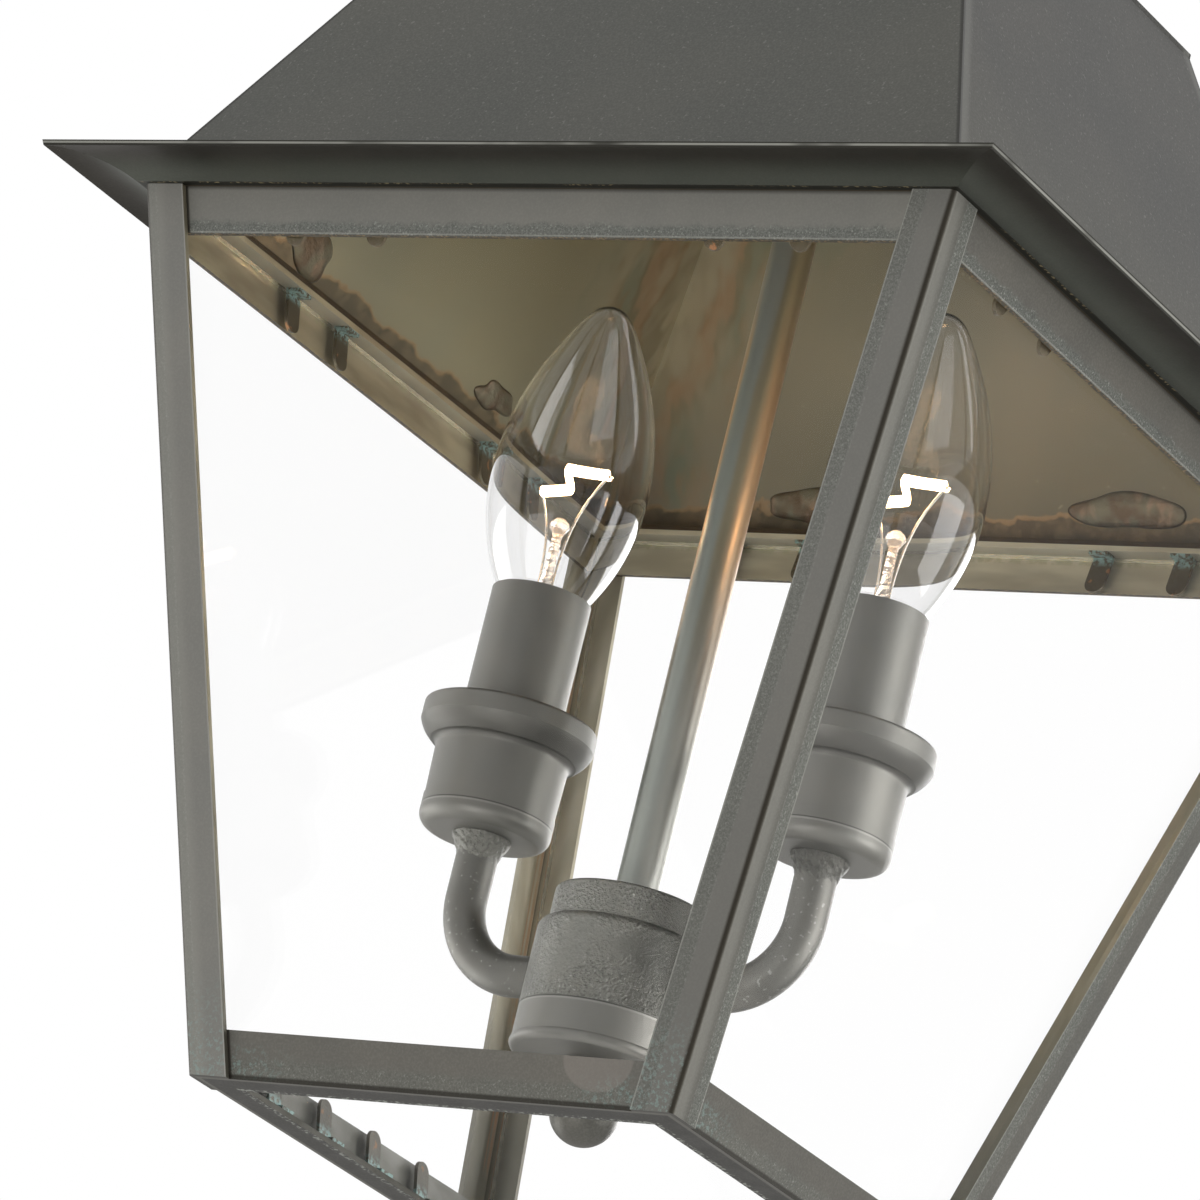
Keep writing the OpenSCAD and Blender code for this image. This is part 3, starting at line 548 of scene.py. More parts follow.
def bottom_rail_patina():
    """Finish of the bottom rails."""
    material, tree = new_material("bottom_rail_charcoal_patina")
    where, height, along, bend, _, inside = frame_places(tree)
    sideways, down = looks(tree)
    base = patina(tree, where, tinted(tree, sideways, BOTTOM_COLOUR, BOTTOM_SHADED_SIDE))
    above = wavering(tree, height, 0.002, clouds(tree, where, 0.006, 3.0, 0.6))
    base = sparkle(tree, where, base, band(tree, above, 0.0052, 0.0034), 0.30, "#50544e", "#7b7f78")
    ends = both(tree, band(tree, along, 0.030, 0.012), band(tree, height, 0.0085, 0.0040))
    bloom = both(tree, ends, spots(tree, where, 0.0012, 0.50, 0.64, 4.0, 0.7))
    base = marked(tree, base, bloom, 0.5, "#86a09a")
    disc = vector_maths(tree, "SUBTRACT", where, STAIN_PLACE)
    disc = vector_maths(tree, "LENGTH", vector_maths(tree, "MULTIPLY", disc, STAIN_SCALE))
    drip = both(tree, band(tree, disc, 1.04, 0.96), band(tree, axes(tree)[2], -0.050, -0.055))
    base = marked(tree, base, drip, 0.35, "#938b84")
    # Painted contact shadow with some grime where the post's flange laps over the rail.
    base = marked(tree, base, stripe(tree, along, LAP, 0.0003, 0.0004), 0.85, CONTACT_SHADE_AND_SOOT)
    # Painted shade: a dark line along the bend at the foot.
    painted_crease_shade = band(tree, height, 0.0013, 0.0007)
    base = marked(tree, base, painted_crease_shade, 0.85, "#26221b")
    grey = tinted(tree, spots(tree, where, 0.012, 0.35, 0.65, 3.0, 0.6, (2, 2, 1)),
                  "#6f6e66", "#8b8a83")
    # Painted shadow: the grey inside is darker near the level leg.
    grey = marked(tree, grey, band(tree, height, 0.0052, 0.0028), 0.65, "#3c3932")
    base = tinted(tree, inside, base, grey)
    under = marked(tree, "#2e2c28", spots(tree, where, 0.0005, 0.45, 0.65, 2.0), 0.5, "#4a4842")
    depth = maths(tree, "SUBTRACT", along, bend)
    ridge = stripe(tree, depth, 0.0016, 0.0005, 0.0004)
    under = marked(tree, under, ridge, 0.4, "#8a8880")
    under = marked(tree, under, band(tree, depth, 0.0010, 0.0005), 0.8, "#2c2923")
    broken = spots(tree, where, 0.0011, 0.5, 0.6, 2.0)
    tacks = both(tree, band(tree, depth, 0.0074, 0.0079), broken)
    under = marked(tree, under, tacks, 0.7, "#a5a8a0")
    base = tinted(tree, down, base, under)
    folded_coat(tree, where, base)
    return material


BOTTOM_RAIL = bottom_rail_patina()
print("made", BOTTOM_RAIL.name)

# %% [markdown]
# ## Roof and brim
#
# The roof sheets are even and grainy outside, with a dark seam at each hip. The side panels are painted
# darker, lighter towards the foot, and a painted highlight runs beside each hip on them. Inside they are
# olive brass, brown and rough at the foot, where the flame went along the joint, with painted shade on the
# half of the front and back panels towards +x. The heat left faint streaks beside the hips: bands that noise
# bends and breaks.

# %% Roof
# Each streak's distance from the hip and half width in metres, its colour and its strength.
STREAKS = [
    (0.004, 0.003, "#7b7259", 0.5), (0.011, 0.003, "#a1744c", 0.45), (0.017, 0.003, "#6f7c66", 0.5),
    (0.024, 0.0035, "#a37d55", 0.35), (0.031, 0.003, "#7b8570", 0.35),
]


def heat_streaks(tree, where, bend, base):
    """Colours that soldering heat left beside a hip: rust, green and straw bands, broken by long streaks."""
    away = wavering(tree, bend, 0.03, clouds(tree, where, 0.012, 3.0, 0.6, (1, 1, 5)))
    breaks = spots(tree, where, 0.016, 0.40, 0.62, 3.0, 0.6, (1, 1, 3))
    for middle, half, colour, amount in STREAKS:
        streak = both(tree, stripe(tree, away, middle, half, 0.0025), breaks)
        base = marked(tree, base, streak, amount, colour)
    return base


def roof_patina():
    """Finish of the roof sheets."""
    material, tree = new_material("roof_charcoal_patina")
    where, height, _, bend, _, inside = frame_places(tree)
    sideways = looks(tree)[0]
    above = scaled(tree, height, 1.0, -RAIL_TOP)
    # Painted shade and light: the side panels get a darker colour, lighter towards the foot.
    shaded_side_colour = tinted(tree, band(tree, above, 0.055, 0.012), "#2b2b27", "#37372f")
    base = patina(tree, where, tinted(tree, sideways, "#52534e", shaded_side_colour), 0.05, 0.04)
    flecks = spots(tree, where, 0.0009, 0.66, 0.74, 1.0)
    base = marked(tree, base, flecks, 0.30, "#8f8f89")
    # Painted highlight: a lighter band beside each hip on the side panels.
    beside = both(tree, band(tree, bend, 0.0050, 0.0020), sideways)
    base = marked(tree, base, beside, 0.30, "#84847e")
    seam = band(tree, bend, 0.0011, 0.0004)
    base = marked(tree, base, seam, 0.8, "#25241f")
    drift = spots(tree, where, 0.05, 0.3, 0.7, 2.0, 0.5, (1, 1, 3))
    olive = tinted(tree, drift, "#6e6956", "#79715d")
    deep = band(tree, above, 0.008, 0.045)
    olive = tinted(tree, deep, olive, tinted(tree, drift, "#8f8974", "#9b917a"))
    olive = tinted(tree, sideways, olive, tinted(tree, drift, "#8f8b73", "#989073"))
    x = axes(tree)[1]
    # Painted shade: the front and back panels are darker inside on their half towards +x.
    painted_inside_shade = both(tree, band(tree, x, -0.035, 0.005), scaled(tree, sideways, -1.0, 1.0))
    olive = marked(tree, olive, painted_inside_shade, 0.32, "#4f4838")
    near_hip = both(tree, band(tree, bend, 0.050, 0.010), band(tree, x, -0.04, -0.07))
    near_hip = both(tree, near_hip, scaled(tree, sideways, 0.50, 0.20))
    olive = tinted(tree, near_hip, olive, "#c4bb9f")
    olive = heat_streaks(tree, where, bend, olive)
    pits = spots(tree, where, 0.0014, 0.70, 0.76, 1.0)
    olive = marked(tree, olive, pits, 0.3, "#a39c84")
    above = wavering(tree, above, 0.012, clouds(tree, where, 0.014, 4.0, 0.6))
    flux = spots(tree, where, 0.004, 0.4, 0.6, 4.0, 0.65)
    flux = tinted(tree, flux, "#4e4230", "#6b5a42")
    olive = tinted(tree, scaled(tree, band(tree, above, 0.0088, 0.0076), 0.75), olive, flux)
    rust = stripe(tree, above, 0.0082, 0.0003, 0.0005)
    olive = marked(tree, olive, rust, 0.5, "#a0805a")
    base = tinted(tree, inside, base, olive)
    rough = add(tree, "ShaderNodeMix", {0: inside, 2: 0.46, 3: 0.42})
    metal = add(tree, "ShaderNodeMix", {0: inside, 2: 0.5, 3: 0.75})
    coat(tree, base, rough, metal, clouds(tree, where, 0.003, 1.0), 0.03)
    return material


ROOF = roof_patina()
print("made", ROOF.name, "with", len(STREAKS), "heat streaks")

# %% [markdown]
# The brim is brown near its lip and greenish near its foot. On the two sides its colours are painted shade
# and light, darker at the foot and a little lighter towards the lip. Its lip has a painted highlight in
# patches, and the dark joint against the frame shows dashes of bare brass.

# %% Brim


def brim_patina():
    """Finish of the brim."""
    material, tree = new_material("brim_charcoal_patina")
    where, x, y, z = axes(tree)
    sideways = looks(tree)[0]
    reach = maths(tree, "MAXIMUM", maths(tree, "ABSOLUTE", x), maths(tree, "ABSOLUTE", y))
    outer = band(tree, reach, head_half + 0.003, lip_half - 0.005)
    # Painted shade and light: the side faces are darker at the foot and a little lighter towards the lip.
    foot = tinted(tree, sideways, "#484b44", "#1f2320")
    base = tinted(tree, outer, foot, tinted(tree, sideways, "#2e2b25", "#3c3731"))
    base = patina(tree, where, base, 0.03, 0.03, 0.02)
    inner = band(tree, reach, head_half - 0.0005, head_half - 0.0012)
    copper = spots(tree, where, 0.006, 0.5, 0.7, 3.0)
    leg = marked(tree, "#5a4c3a", copper, 0.4, "#7a6244")
    base = tinted(tree, inner, base, leg)
    joint = stripe(tree, reach, head_half + 0.0002, 0.0006, 0.0004)
    base = marked(tree, base, joint, 0.8, "#1c1912")
    scraped = both(tree, spots(tree, where, 0.0014, 0.50, 0.60, 2.0, 0.6),
                   spots(tree, where, 0.02, 0.45, 0.55, 1.0))
    dashes = both(tree, stripe(tree, reach, head_half + 0.0008, 0.0002, 0.0002), scraped)
    base = marked(tree, base, dashes, 0.8, "#b9aa86")
    edge = band(tree, reach, lip_half - 0.0006, lip_half - 0.0004)
    # Painted highlight: a pale line along the rolled lip, shown in patches.
    pale = stripe(tree, z, lip_z + 0.0001, 0.00015, 0.00012)
    highlight_patches = spots(tree, where, 0.02, 0.25, 0.55, 3.0)
    lip = tinted(tree, both(tree, pale, highlight_patches), "#33322d", "#8f8f88")
    base = tinted(tree, edge, base, lip)
    rough = scaled(tree, clouds(tree, where, 0.01), 0.12, 0.40)
    coat(tree, base, rough, 0.85, clouds(tree, where, 0.001, 2.0), 0.08)
    return material


BRIM = brim_patina()
print("made", BRIM.name)

# %% [markdown]
# ## Candle cluster, clips and chain
#
# The turned and bent pieces went over a polishing wheel, so they are even and matte. Pale specks are left
# where they were brazed and fine lines where a tool cut, each line with a painted highlight under it. The
# cups' underside has painted shade.

# %% Turned and bent pieces


def turned_patina(name, colour, specks=0.0, lines=(), shaded_from=None):
    """Finish of the turned and bent pieces: pale specks, a fine dark line with a painted highlight under it
    at each height in lines, and painted shade on the underside from the given height up."""
    material, tree = new_material(name)
    where, _, _, z = axes(tree)
    base = patina(tree, where, colour, 0.012)
    if specks:
        base = marked(tree, base, spots(tree, where, 0.0011, 0.66, 0.72, 1.0), specks, "#b9bbb4")
    # Painted shade on the faces that look down, above the given height.
    if shaded_from:
        below = both(tree, band(tree, normal_axes(tree)[2], -0.05, -0.55), band(tree, z, shaded_from, shaded_from + 0.001))
        base = marked(tree, base, below, 0.5, "#403f3b")
    for line in lines:
        base = marked(tree, base, stripe(tree, z, line, 0.00008, 0.0001), 0.65, "#2b2a26")
        # Painted highlight: a pale line just under each dark line.
        base = marked(tree, base, stripe(tree, z, line - 0.0004, 0.0001, 0.0002), 0.35, "#b5b5ad")
    rough = scaled(tree, clouds(tree, where, 0.004), 0.1, 0.40)
    coat(tree, base, rough, 0.75, clouds(tree, where, 0.0006, 2.0), 0.08)
    return material


CLUSTER = turned_patina("cluster_charcoal_patina", "#7b7a75")
BRAZED = turned_patina("brazed_charcoal_patina", "#777671", specks=0.45)
cup_foot, cup_top = (corner.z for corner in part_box("cup_left"))
cover_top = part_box("hub_cover")[1].z
CUP_LINE, CUP_SHADE_DROP, COVER_LINE = 4.4 * MM, 12.5 * MM, 0.2 * MM
CUP = turned_patina("cup_charcoal_patina", "#7b7a75", lines=[cup_foot + CUP_LINE], shaded_from=cup_top - CUP_SHADE_DROP)
COVER = turned_patina("spun_cover_charcoal_patina", "#85847f", lines=[cover_top - COVER_LINE])
BOTTOM_BALL = turned_patina("finial_charcoal_patina", "#605f5a")
HANGING = turned_patina("chain_charcoal_patina", "#6e6c66")
print("cup line at", round(cup_foot + CUP_LINE, 4))

# %% [markdown]
# The hub was cast in sand, whose grains show in its skin. One noise makes both the relief and painted glints,
# so that the tops of the grains are painted bright. Its right side is darker, painted shade.

# %% Cast hub
SAND = 0.7 * MM


def cast_patina():
    """Finish of the sand-cast hub."""
    material, tree = new_material("sand_cast_patina")
    where, x, _, _ = axes(tree)
    sand = clouds(tree, where, SAND, 3.0, 0.6)
    patches = scaled(tree, spots(tree, where, 0.014, 0.34, 0.60, 2.0), 0.7, 0.3)
    base = patina(tree, where, "#82827c", 0.01, 0.06)
    # Painted highlight: bright glints on the tops of the grains.
    glints = both(tree, patches, band(tree, sand, 0.62, 0.69))
    base = marked(tree, base, glints, 0.6, "#d2d2ca")
    # Painted shade: the right side of the hub is darker.
    painted_hub_shade = band(tree, x, 0.008, 0.015)
    base = marked(tree, base, painted_hub_shade, 0.55, "#302f2b")
    pits = both(tree, patches, band(tree, sand, 0.46, 0.38))
    base = marked(tree, base, pits, 0.4, "#34342f")
    coat(tree, base, scaled(tree, sand, -0.25, 0.46), 0.75, both(tree, patches, sand), 1.0, SAND)
    return material


CAST = cast_patina()
print("made", CAST.name)

# %% [markdown]
# The stem is blue-grey on one side and copper on the other, partly heat tint from brazing and partly painted
# reflection of the light round it, warm on the side of the right-hand bulb. The colour follows the angle
# round the tube, is greyer near the roof, and fades to a pitted greenish grey low down.

# %% Stem
# A level direction; the colours change along it, partly heat tint and partly painted reflection.
TINT_AND_REFLECTION_ACROSS = (0.868, 0.497, 0.0)


def stem_patina():
    """Finish of the stem."""
    material, tree = new_material("heat_tinted_stem")
    where, _, _, z = axes(tree)
    side = vector_maths(tree, "DOT_PRODUCT", where, TINT_AND_REFLECTION_ACROSS)
    side = wavering(tree, side, 0.0016, clouds(tree, where, 0.003, 2.0, 0.5, (1, 1, 14)))
    # Painted reflection, partly heat tint: blue-grey to one side, straw and copper to the other.
    tint = tinted(tree, band(tree, side, -0.0044, -0.0036), "#cfac7d", "#9fa69f")
    tint = tinted(tree, band(tree, side, -0.0016, 0.0002), tint, "#a39a7f")
    tint = tinted(tree, band(tree, side, 0.0008, 0.0030), tint, "#b8946a")
    cooler = tinted(tree, band(tree, side, -0.0004, 0.0010), "#a9aca5", "#a2977a")
    height = scaled(tree, z, 1.0, -foot_z)
    tint = tinted(tree, scaled(tree, band(tree, height, 0.175, 0.210), 0.85), tint, cooler)
    tint = marked(tree, tint, band(tree, height, 0.165, 0.125), 0.45, "#4e463a")
    high = band(tree, height, 0.085, 0.15)
    low = tinted(tree, band(tree, side, -0.002, 0.002), "#9b9f99", "#bcbdb6")
    low = patina(tree, where, low, 0.01, 0.06)
    pits = spots(tree, where, 0.0012, 0.66, 0.72, 1.0)
    low = marked(tree, low, pits, 0.4, "#b9bcb6")
    base = tinted(tree, scaled(tree, high, 0.9), low, tint)
    coat(tree, base, 0.36, 0.75, clouds(tree, where, 0.001, 2.0), 0.06)
    return material


STEM = stem_patina()
print("made", STEM.name)

# %% [markdown]
# The clips that hold the panes are brown or grey brass with copper glints. Pale verdigris grew at the
# soldered end, which is the end next to a level leg.

# %% Clips


def clip_brass(name, colour, glints):
    """Finish of the clips."""
    material, tree = new_material(name)
    where, _, _, z = axes(tree)
    height = scaled(tree, z, 1.0, -foot_z)
    base = patina(tree, where, colour, 0.004, 0.1)
    glint = spots(tree, where, 0.0022, 0.63, 0.7, 2.0)
    base = marked(tree, base, glint, glints, COPPER)
    near_top = band(tree, height, RAIL_TOP - 0.0045, RAIL_TOP - 0.0028)
    near_foot = both(tree, band(tree, height, 0.006, 0.003), band(tree, height, 0.0, 0.001))
    root = maths(tree, "MAXIMUM", near_top, near_foot)
    bloom = both(tree, root, spots(tree, where, 0.0012, 0.42, 0.56, 4.0, 0.65))
    base = marked(tree, base, bloom, 0.85, "#9cb8b4")
    coat(tree, base, 0.5, 0.6, clouds(tree, where, 0.0006, 2.0), 0.25, 0.0003)
    return material


TOP_CLIP = clip_brass("brown_brass_with_verdigris", "#5f553f", 0.8)
FOOT_CLIP = clip_brass("grey_brass_with_verdigris", "#6c6a63", 0.4)
print("materials:", len(bpy.data.materials))

# %% [markdown]
# ## Glass
#
# The panes are clear float glass, 2 mm thick, and the bulbs are blown glass less than a millimetre
# thick. A true refracting shader shows the background through them. Both let the lamps' light pass,
# which real glass does too, because the sharp patterns that it would throw take very long to render.

# %% Glass materials


def clear_glass(name, tint, ior, roughness=0.0, clear=1.0, waves=0.0):
    """A refracting glass with its colour, index and roughness on the shader. Clear below 1 makes it milky,
    and waves above 0 gives it the uneven skin of glass that was pressed hot."""
    material, tree = new_material(name)
    inputs = {"Base Color": linear(tint), "Roughness": roughness, "IOR": ior, "Transmission Weight": clear}
    if waves:
        inputs["Normal"] = add(tree, "ShaderNodeBump", {
            "Height": clouds(tree, axes(tree)[0], 0.0012, 2.0), "Strength": waves, "Distance": 0.001})
    shader = add(tree, "ShaderNodeBsdfPrincipled", inputs)
    add(tree, "ShaderNodeOutputMaterial", {"Surface": shader})
    return material


PANE = clear_glass("float_glass", "#ffffff", 1.12)
BLOWN = clear_glass("blown_glass", "#ffffff", 1.5)
MOUNT = clear_glass("pressed_glass", "#fffaf2", 1.5, 0.05, 0.85, 0.5)

# %% [markdown]
# ## Dressing the frame
#
# Each node keeps its exact shape and gets the finish of its kind, by the first words of its name.

# %% Assign materials


def plain_metal(name, colour, roughness, metallic=1.0):
    """A plated or moulded surface with faint clouds in its gloss."""
    material, tree = new_material(name)
    where = axes(tree)[0]
    base = patina(tree, where, colour, 0.01)
    rough = scaled(tree, clouds(tree, where, 0.003), 0.2, roughness)
    coat(tree, base, rough, metallic, clouds(tree, where, 0.0005, 2.0), 0.05, 0.0001)
    return material


ZINC = plain_metal("zinc_plated_steel", "#b4b2a9", 0.3)
NICKEL = plain_metal("nickel_plated_brass", "#cbc8bf", 0.18)
PHENOLIC = plain_metal("moulded_phenolic", "#24221f", 0.45, 0.0)

FINISHES = {
    "post": POST, "top_rail": TOP_RAIL, "bottom_rail": BOTTOM_RAIL, "glass": PANE, "brim": BRIM,
    "roof": ROOF, "chimney": ROOF, "lantern_loop": HANGING, "top_clips": TOP_CLIP, "bottom_clips": FOOT_CLIP,
    "stem": STEM, "stem_nuts": ZINC, "hub_cap": CAST, "hub_body": CAST, "hub_cover": COVER,
    "hub_finial": BOTTOM_BALL, "arm": BRAZED, "cup": CUP, "lampholder": PHENOLIC, "candle": CLUSTER,
    "bulb_glass": BLOWN, "bulb_base": NICKEL, "bulb_mount": MOUNT, "chain": HANGING, "canopy": HANGING,
    "screw_collar": HANGING, "loop_locknut": ZINC, "crossbar": ZINC,
}
for name, piece in nodes.items():
    key = max((k for k in FINISHES if name.startswith(k)), key=len)
    piece.data.materials.clear()
    piece.data.materials.append(FINISHES[key])
    if key == "glass":
        piece.visible_shadow = False
print("dressed:", len(nodes))

# %% [markdown]
# ## One way to make a closed skin
#
# Every small piece below is a tube, a turned form or a blob, and all of these are the same thing: rings
# of points, one after another, closed by a single point at each end. So one function turns rings into a
# mesh. The volume that the faces enclose tells whether they look outwards, and if it comes out negative
# the faces are turned round.

# %% Skins from rings


def skin(name, rings, first, last, material, body, shadow=True):
    """A closed mesh from rings of shape (rows, columns, 3): quads join neighbouring rings, and fans of
    triangles join the outer rings to the points first and last."""
    rows, columns = rings.shape[:2]
    points = np.vstack([rings.reshape(-1, 3), first, last])
    here = np.arange(rows - 1)[:, None] * columns + np.arange(columns)[None, :]
    after = np.arange(rows - 1)[:, None] * columns + (np.arange(columns) + 1)[None, :] % columns
    quads = np.stack([here, after, after + columns, here + columns], -1).reshape(-1, 4)
    edge = np.arange(columns)
    turn = (edge + 1) % columns
    start, end = rows * columns, rows * columns + 1
    base = (rows - 1) * columns
    fans = np.vstack([np.stack([turn, edge, np.full(columns, start)], -1),
                      np.stack([base + edge, base + turn, np.full(columns, end)], -1)])
    triangles = np.vstack([quads[:, [0, 1, 2]], quads[:, [0, 2, 3]], fans])
    a, b, c = (points[triangles[:, k]] for k in range(3))
    volume = np.einsum("ij,ij->i", a, np.cross(b, c)).sum() / 6
    if volume < 0:
        quads, fans = quads[:, ::-1], fans[:, ::-1]
    mesh = bpy.data.meshes.new(name)
    mesh.from_pydata(points.tolist(), [], quads.tolist() + fans.tolist())
    mesh.shade_smooth()
    mesh.materials.append(material)
    piece = bpy.data.objects.new(name, mesh)
    bpy.context.scene.collection.objects.link(piece)
    piece.visible_shadow = shadow
    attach(piece, body)
    return piece


def around(count):
    """Evenly spaced angles of one full turn."""
    return np.linspace(0, 2 * np.pi, count, endpoint=False)


def turned(x, radius, height, angle, depth=None):
    """Rings round the upright axis at x: points at the distance radius along x times the cosine of the
    angle, and depth, or else radius, along y times its sine. Each has a row for every ring."""
    depth = radius if depth is None else depth
    return np.stack(np.broadcast_arrays(x + radius * np.cos(angle), depth * np.sin(angle), height), -1)


def bar(name, path, radius, material, body, count=8):
    """A closed round bar along a path: at each point stands a circle square to the path, with one of its
    axes kept as level as it can be."""
    along = np.gradient(path, axis=0)
    along /= np.linalg.norm(along, axis=1, keepdims=True)
    guide = np.where(np.abs(along[:, 2:]) > 0.9, [[0.0, 1.0, 0.0]], [[0.0, 0.0, 1.0]])
    across = np.cross(along, guide)
    across /= np.linalg.norm(across, axis=1, keepdims=True)
    up = np.cross(across, along)
    angle = around(count)[:, None]
    rings = path[:, None] + radius * (np.cos(angle) * across[:, None] + np.sin(angle) * up[:, None])
    skin(name, rings, path[0], path[-1], material, body)


# %% [markdown]
# ## Bulbs
#
# A candle bulb is blown glass on a screw base. Its lower half is a gentle arc that comes in to the neck
# and its upper half closes to the small tip where the tube was sealed. It is turned here as one skin:
# down the outside from the tip to the neck, and back up the inside, a wall of 0.4 mm apart.

# %% Bulb glass
BULB_WALL = 0.4 * MM
NECK = 6.0 * MM
BULB_RADIUS, RIM_RADIUS = 17.5 * MM, 9.9 * MM
BULB_SHOWS, BULB_WIDEST = 69.2 * MM, 26.6 * MM
SHOULDER, TIP_ROUND, TIP_REACH = 0.8, 4.7 * MM, 3.8 * MM
arms = {"left": -arm_x, "right": arm_x}


def bulb_profile(foot, middle, tip, thinner):
    """Radius and height of a bulb's surface, from foot to tip. Below its widest height it is an arc that
    passes the sleeve's rim at RIM_RADIUS and ends in a straight neck. Above it, s goes from 0 to 1 and
    the radius is the root of (R (1 - s^2)^p)^2 + 2 a t e^(-t/b), where R is the greatest radius, p is
    SHOULDER, t the distance from the tip, a TIP_ROUND and b TIP_REACH. Thinner moves it inwards."""
    narrow = BULB_RADIUS - RIM_RADIUS
    arc = (BULB_WIDEST ** 2 + narrow ** 2) / 2 / narrow
    z_low = np.linspace(foot, middle, 40)
    r_low = np.maximum(np.sqrt(arc ** 2 - (middle - z_low) ** 2) - arc + BULB_RADIUS, NECK) - thinner
    s = np.sin(np.linspace(0, np.pi / 2, 60))[1:-1]
    t = (1 - s) * (tip - thinner - middle)
    blunt = 2 * TIP_ROUND * t * np.exp(-t / TIP_REACH)
    r_high = np.sqrt(((BULB_RADIUS - thinner) * (1 - s ** 2) ** SHOULDER) ** 2 + blunt)
    z_high = middle + (tip - thinner - middle) * s
    return np.stack([np.concatenate([r_low, r_high]), np.concatenate([z_low, z_high])], -1)


for side, x in arms.items():
    foot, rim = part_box(f"bulb_glass_{side}")[0].z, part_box(f"candle_{side}")[1].z
    tip, middle = rim + BULB_SHOWS, rim + BULB_WIDEST
    outer, inner = (bulb_profile(foot, middle, tip, thinner) for thinner in (0.0, BULB_WALL))
    profile = np.vstack([outer[::-1], inner])
    rings = turned(x, profile[:, :1], profile[:, 1:], around(96))
    glass = skin(f"blown_bulb_{side}", rings, (x, 0, tip), (x, 0, tip - BULB_WALL),
                 BLOWN, f"bulb_{side}", shadow=False)
    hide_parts(f"bulb_glass_{side}")
print("bulbs:", round(2 * BULB_RADIUS, 4), "m across,", round(tip - foot, 4), "m long")

# %% [markdown]
# Inside stands the mount: a glass flare welded to the neck, pinched flat round two nickel wires, with a
# small button on top. A coil of tungsten wire, wound 2 mm across, runs in a shallow Z between the
# wires. It glows at about 2700 K, far brighter than the white background, so it clips to white.

# %% Mounts and filaments
GLOW_WATTS, GLOW_STRENGTH, GLOW_POINT = 0.04, 90.0, 210
MOUNT_SHARE = [0, 0.2, 0.3, 0.42, 0.55, 0.86, 0.93, 0.98, 1.0]
MOUNT_WIDE = [4.4, 2.9, 2.6, 2.4, 1.2, 1.1, 2.3, 2.0, 1.0]
MOUNT_THIN = [4.4, 2.6, 1.6, 0.9, 1.1, 1.1, 2.2, 1.9, 1.0]
PINCH, WIRE, WIRE_GAP = 0.38, 0.3 * MM, 1.7 * MM
WIRE_ENDS = np.array([[-6.2, -1.0, 6.0], [9.0, 1.0, 11.0]]) * MM
COIL_RADIUS, COIL_TURNS, COIL_POINTS = 1.0 * MM, 32, 520
SWAY, BOW, STEP_FROM, STEP_LONG = 0.27, 3.0 * MM, 0.30, 0.40


def tungsten():
    """Glowing tungsten: light of its own, warm, with no part in lighting the room, which lamps do."""
    material, tree = new_material("glowing_tungsten")
    glow = add(tree, "ShaderNodeEmission", {"Color": linear("#ffd2a0"), "Strength": GLOW_STRENGTH})
    add(tree, "ShaderNodeOutputMaterial", {"Surface": glow})
    material.cycles.emission_sampling = "NONE"
    return material


FILAMENT = tungsten()
for side, x in arms.items():
    base, top = (corner.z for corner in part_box(f"bulb_mount_{side}"))
    h = np.linspace(0, 1, 30)
    wide, thin = (np.interp(h, MOUNT_SHARE, sizes)[:, None] * MM for sizes in (MOUNT_WIDE, MOUNT_THIN))
    rings = turned(x, wide, base + h[:, None] * (top - base), around(24), thin)
    stem = skin(f"mount_{side}", rings, (x, 0, base), (x, 0, top), MOUNT, f"bulb_{side}",
                shadow=False)
    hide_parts(f"bulb_mount_{side}")
    pinch = base + PINCH * (top - base)
    ends = WIRE_ENDS + (x, 0, top)
    for n, end in enumerate(ends):
        t = np.linspace(0, 1, 24)
        near = x + WIRE_GAP * np.sign(end[0] - x)
        path = np.stack([near + (end[0] - near) * t ** 3, end[1] * t, pinch + (end[2] - pinch) * t], -1)
        bar(f"lead_wire_{side}_{n + 1}", path, WIRE, NICKEL, f"bulb_{side}")
    t = np.linspace(0, 1, COIL_POINTS)
    step = np.clip((t - STEP_FROM) / STEP_LONG, 0, 1)
    step = step * step * (3 - 2 * step)
    bowed = ends[0] + (ends[1] - ends[0]) * np.stack([t + SWAY * np.sin(2 * np.pi * t), t, step], -1)
    bowed[:, 1] -= BOW * np.sin(np.pi * t)
    length = np.concatenate([[0], np.cumsum(np.linalg.norm(np.diff(bowed, axis=0), axis=1))])
    turns = 2 * np.pi * COIL_TURNS * length / length[-1]
    coil = bowed + COIL_RADIUS * np.stack([0 * turns, np.cos(turns), np.sin(turns)], -1)
    bar(f"filament_{side}", coil, WIRE, FILAMENT, f"bulb_{side}", count=6)
    data = bpy.data.lights.new(f"glow_{side}", "POINT")
    data.energy = GLOW_WATTS
    data.color = linear("#ffc58a")[:3]
    data.shadow_soft_size = 2 * MM
    glow = bpy.data.objects.new(f"glow_{side}", data)
    glow.location = bowed[GLOW_POINT]
    glow.visible_camera = glow.visible_glossy = glow.visible_transmission = False
    bpy.context.scene.collection.objects.link(glow)
    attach(glow, f"bulb_{side}")
print("filaments at", np.round(bowed[GLOW_POINT], 4).tolist())

# %% [markdown]
# The screw base is nickel-plated brass, rolled into a round thread with 2.54 mm between its turns. It is
# out of sight until the bulb is unscrewed. The radius of the thread rises and falls with the height less
# the share of a turn, so its crest climbs one pitch in each turn.

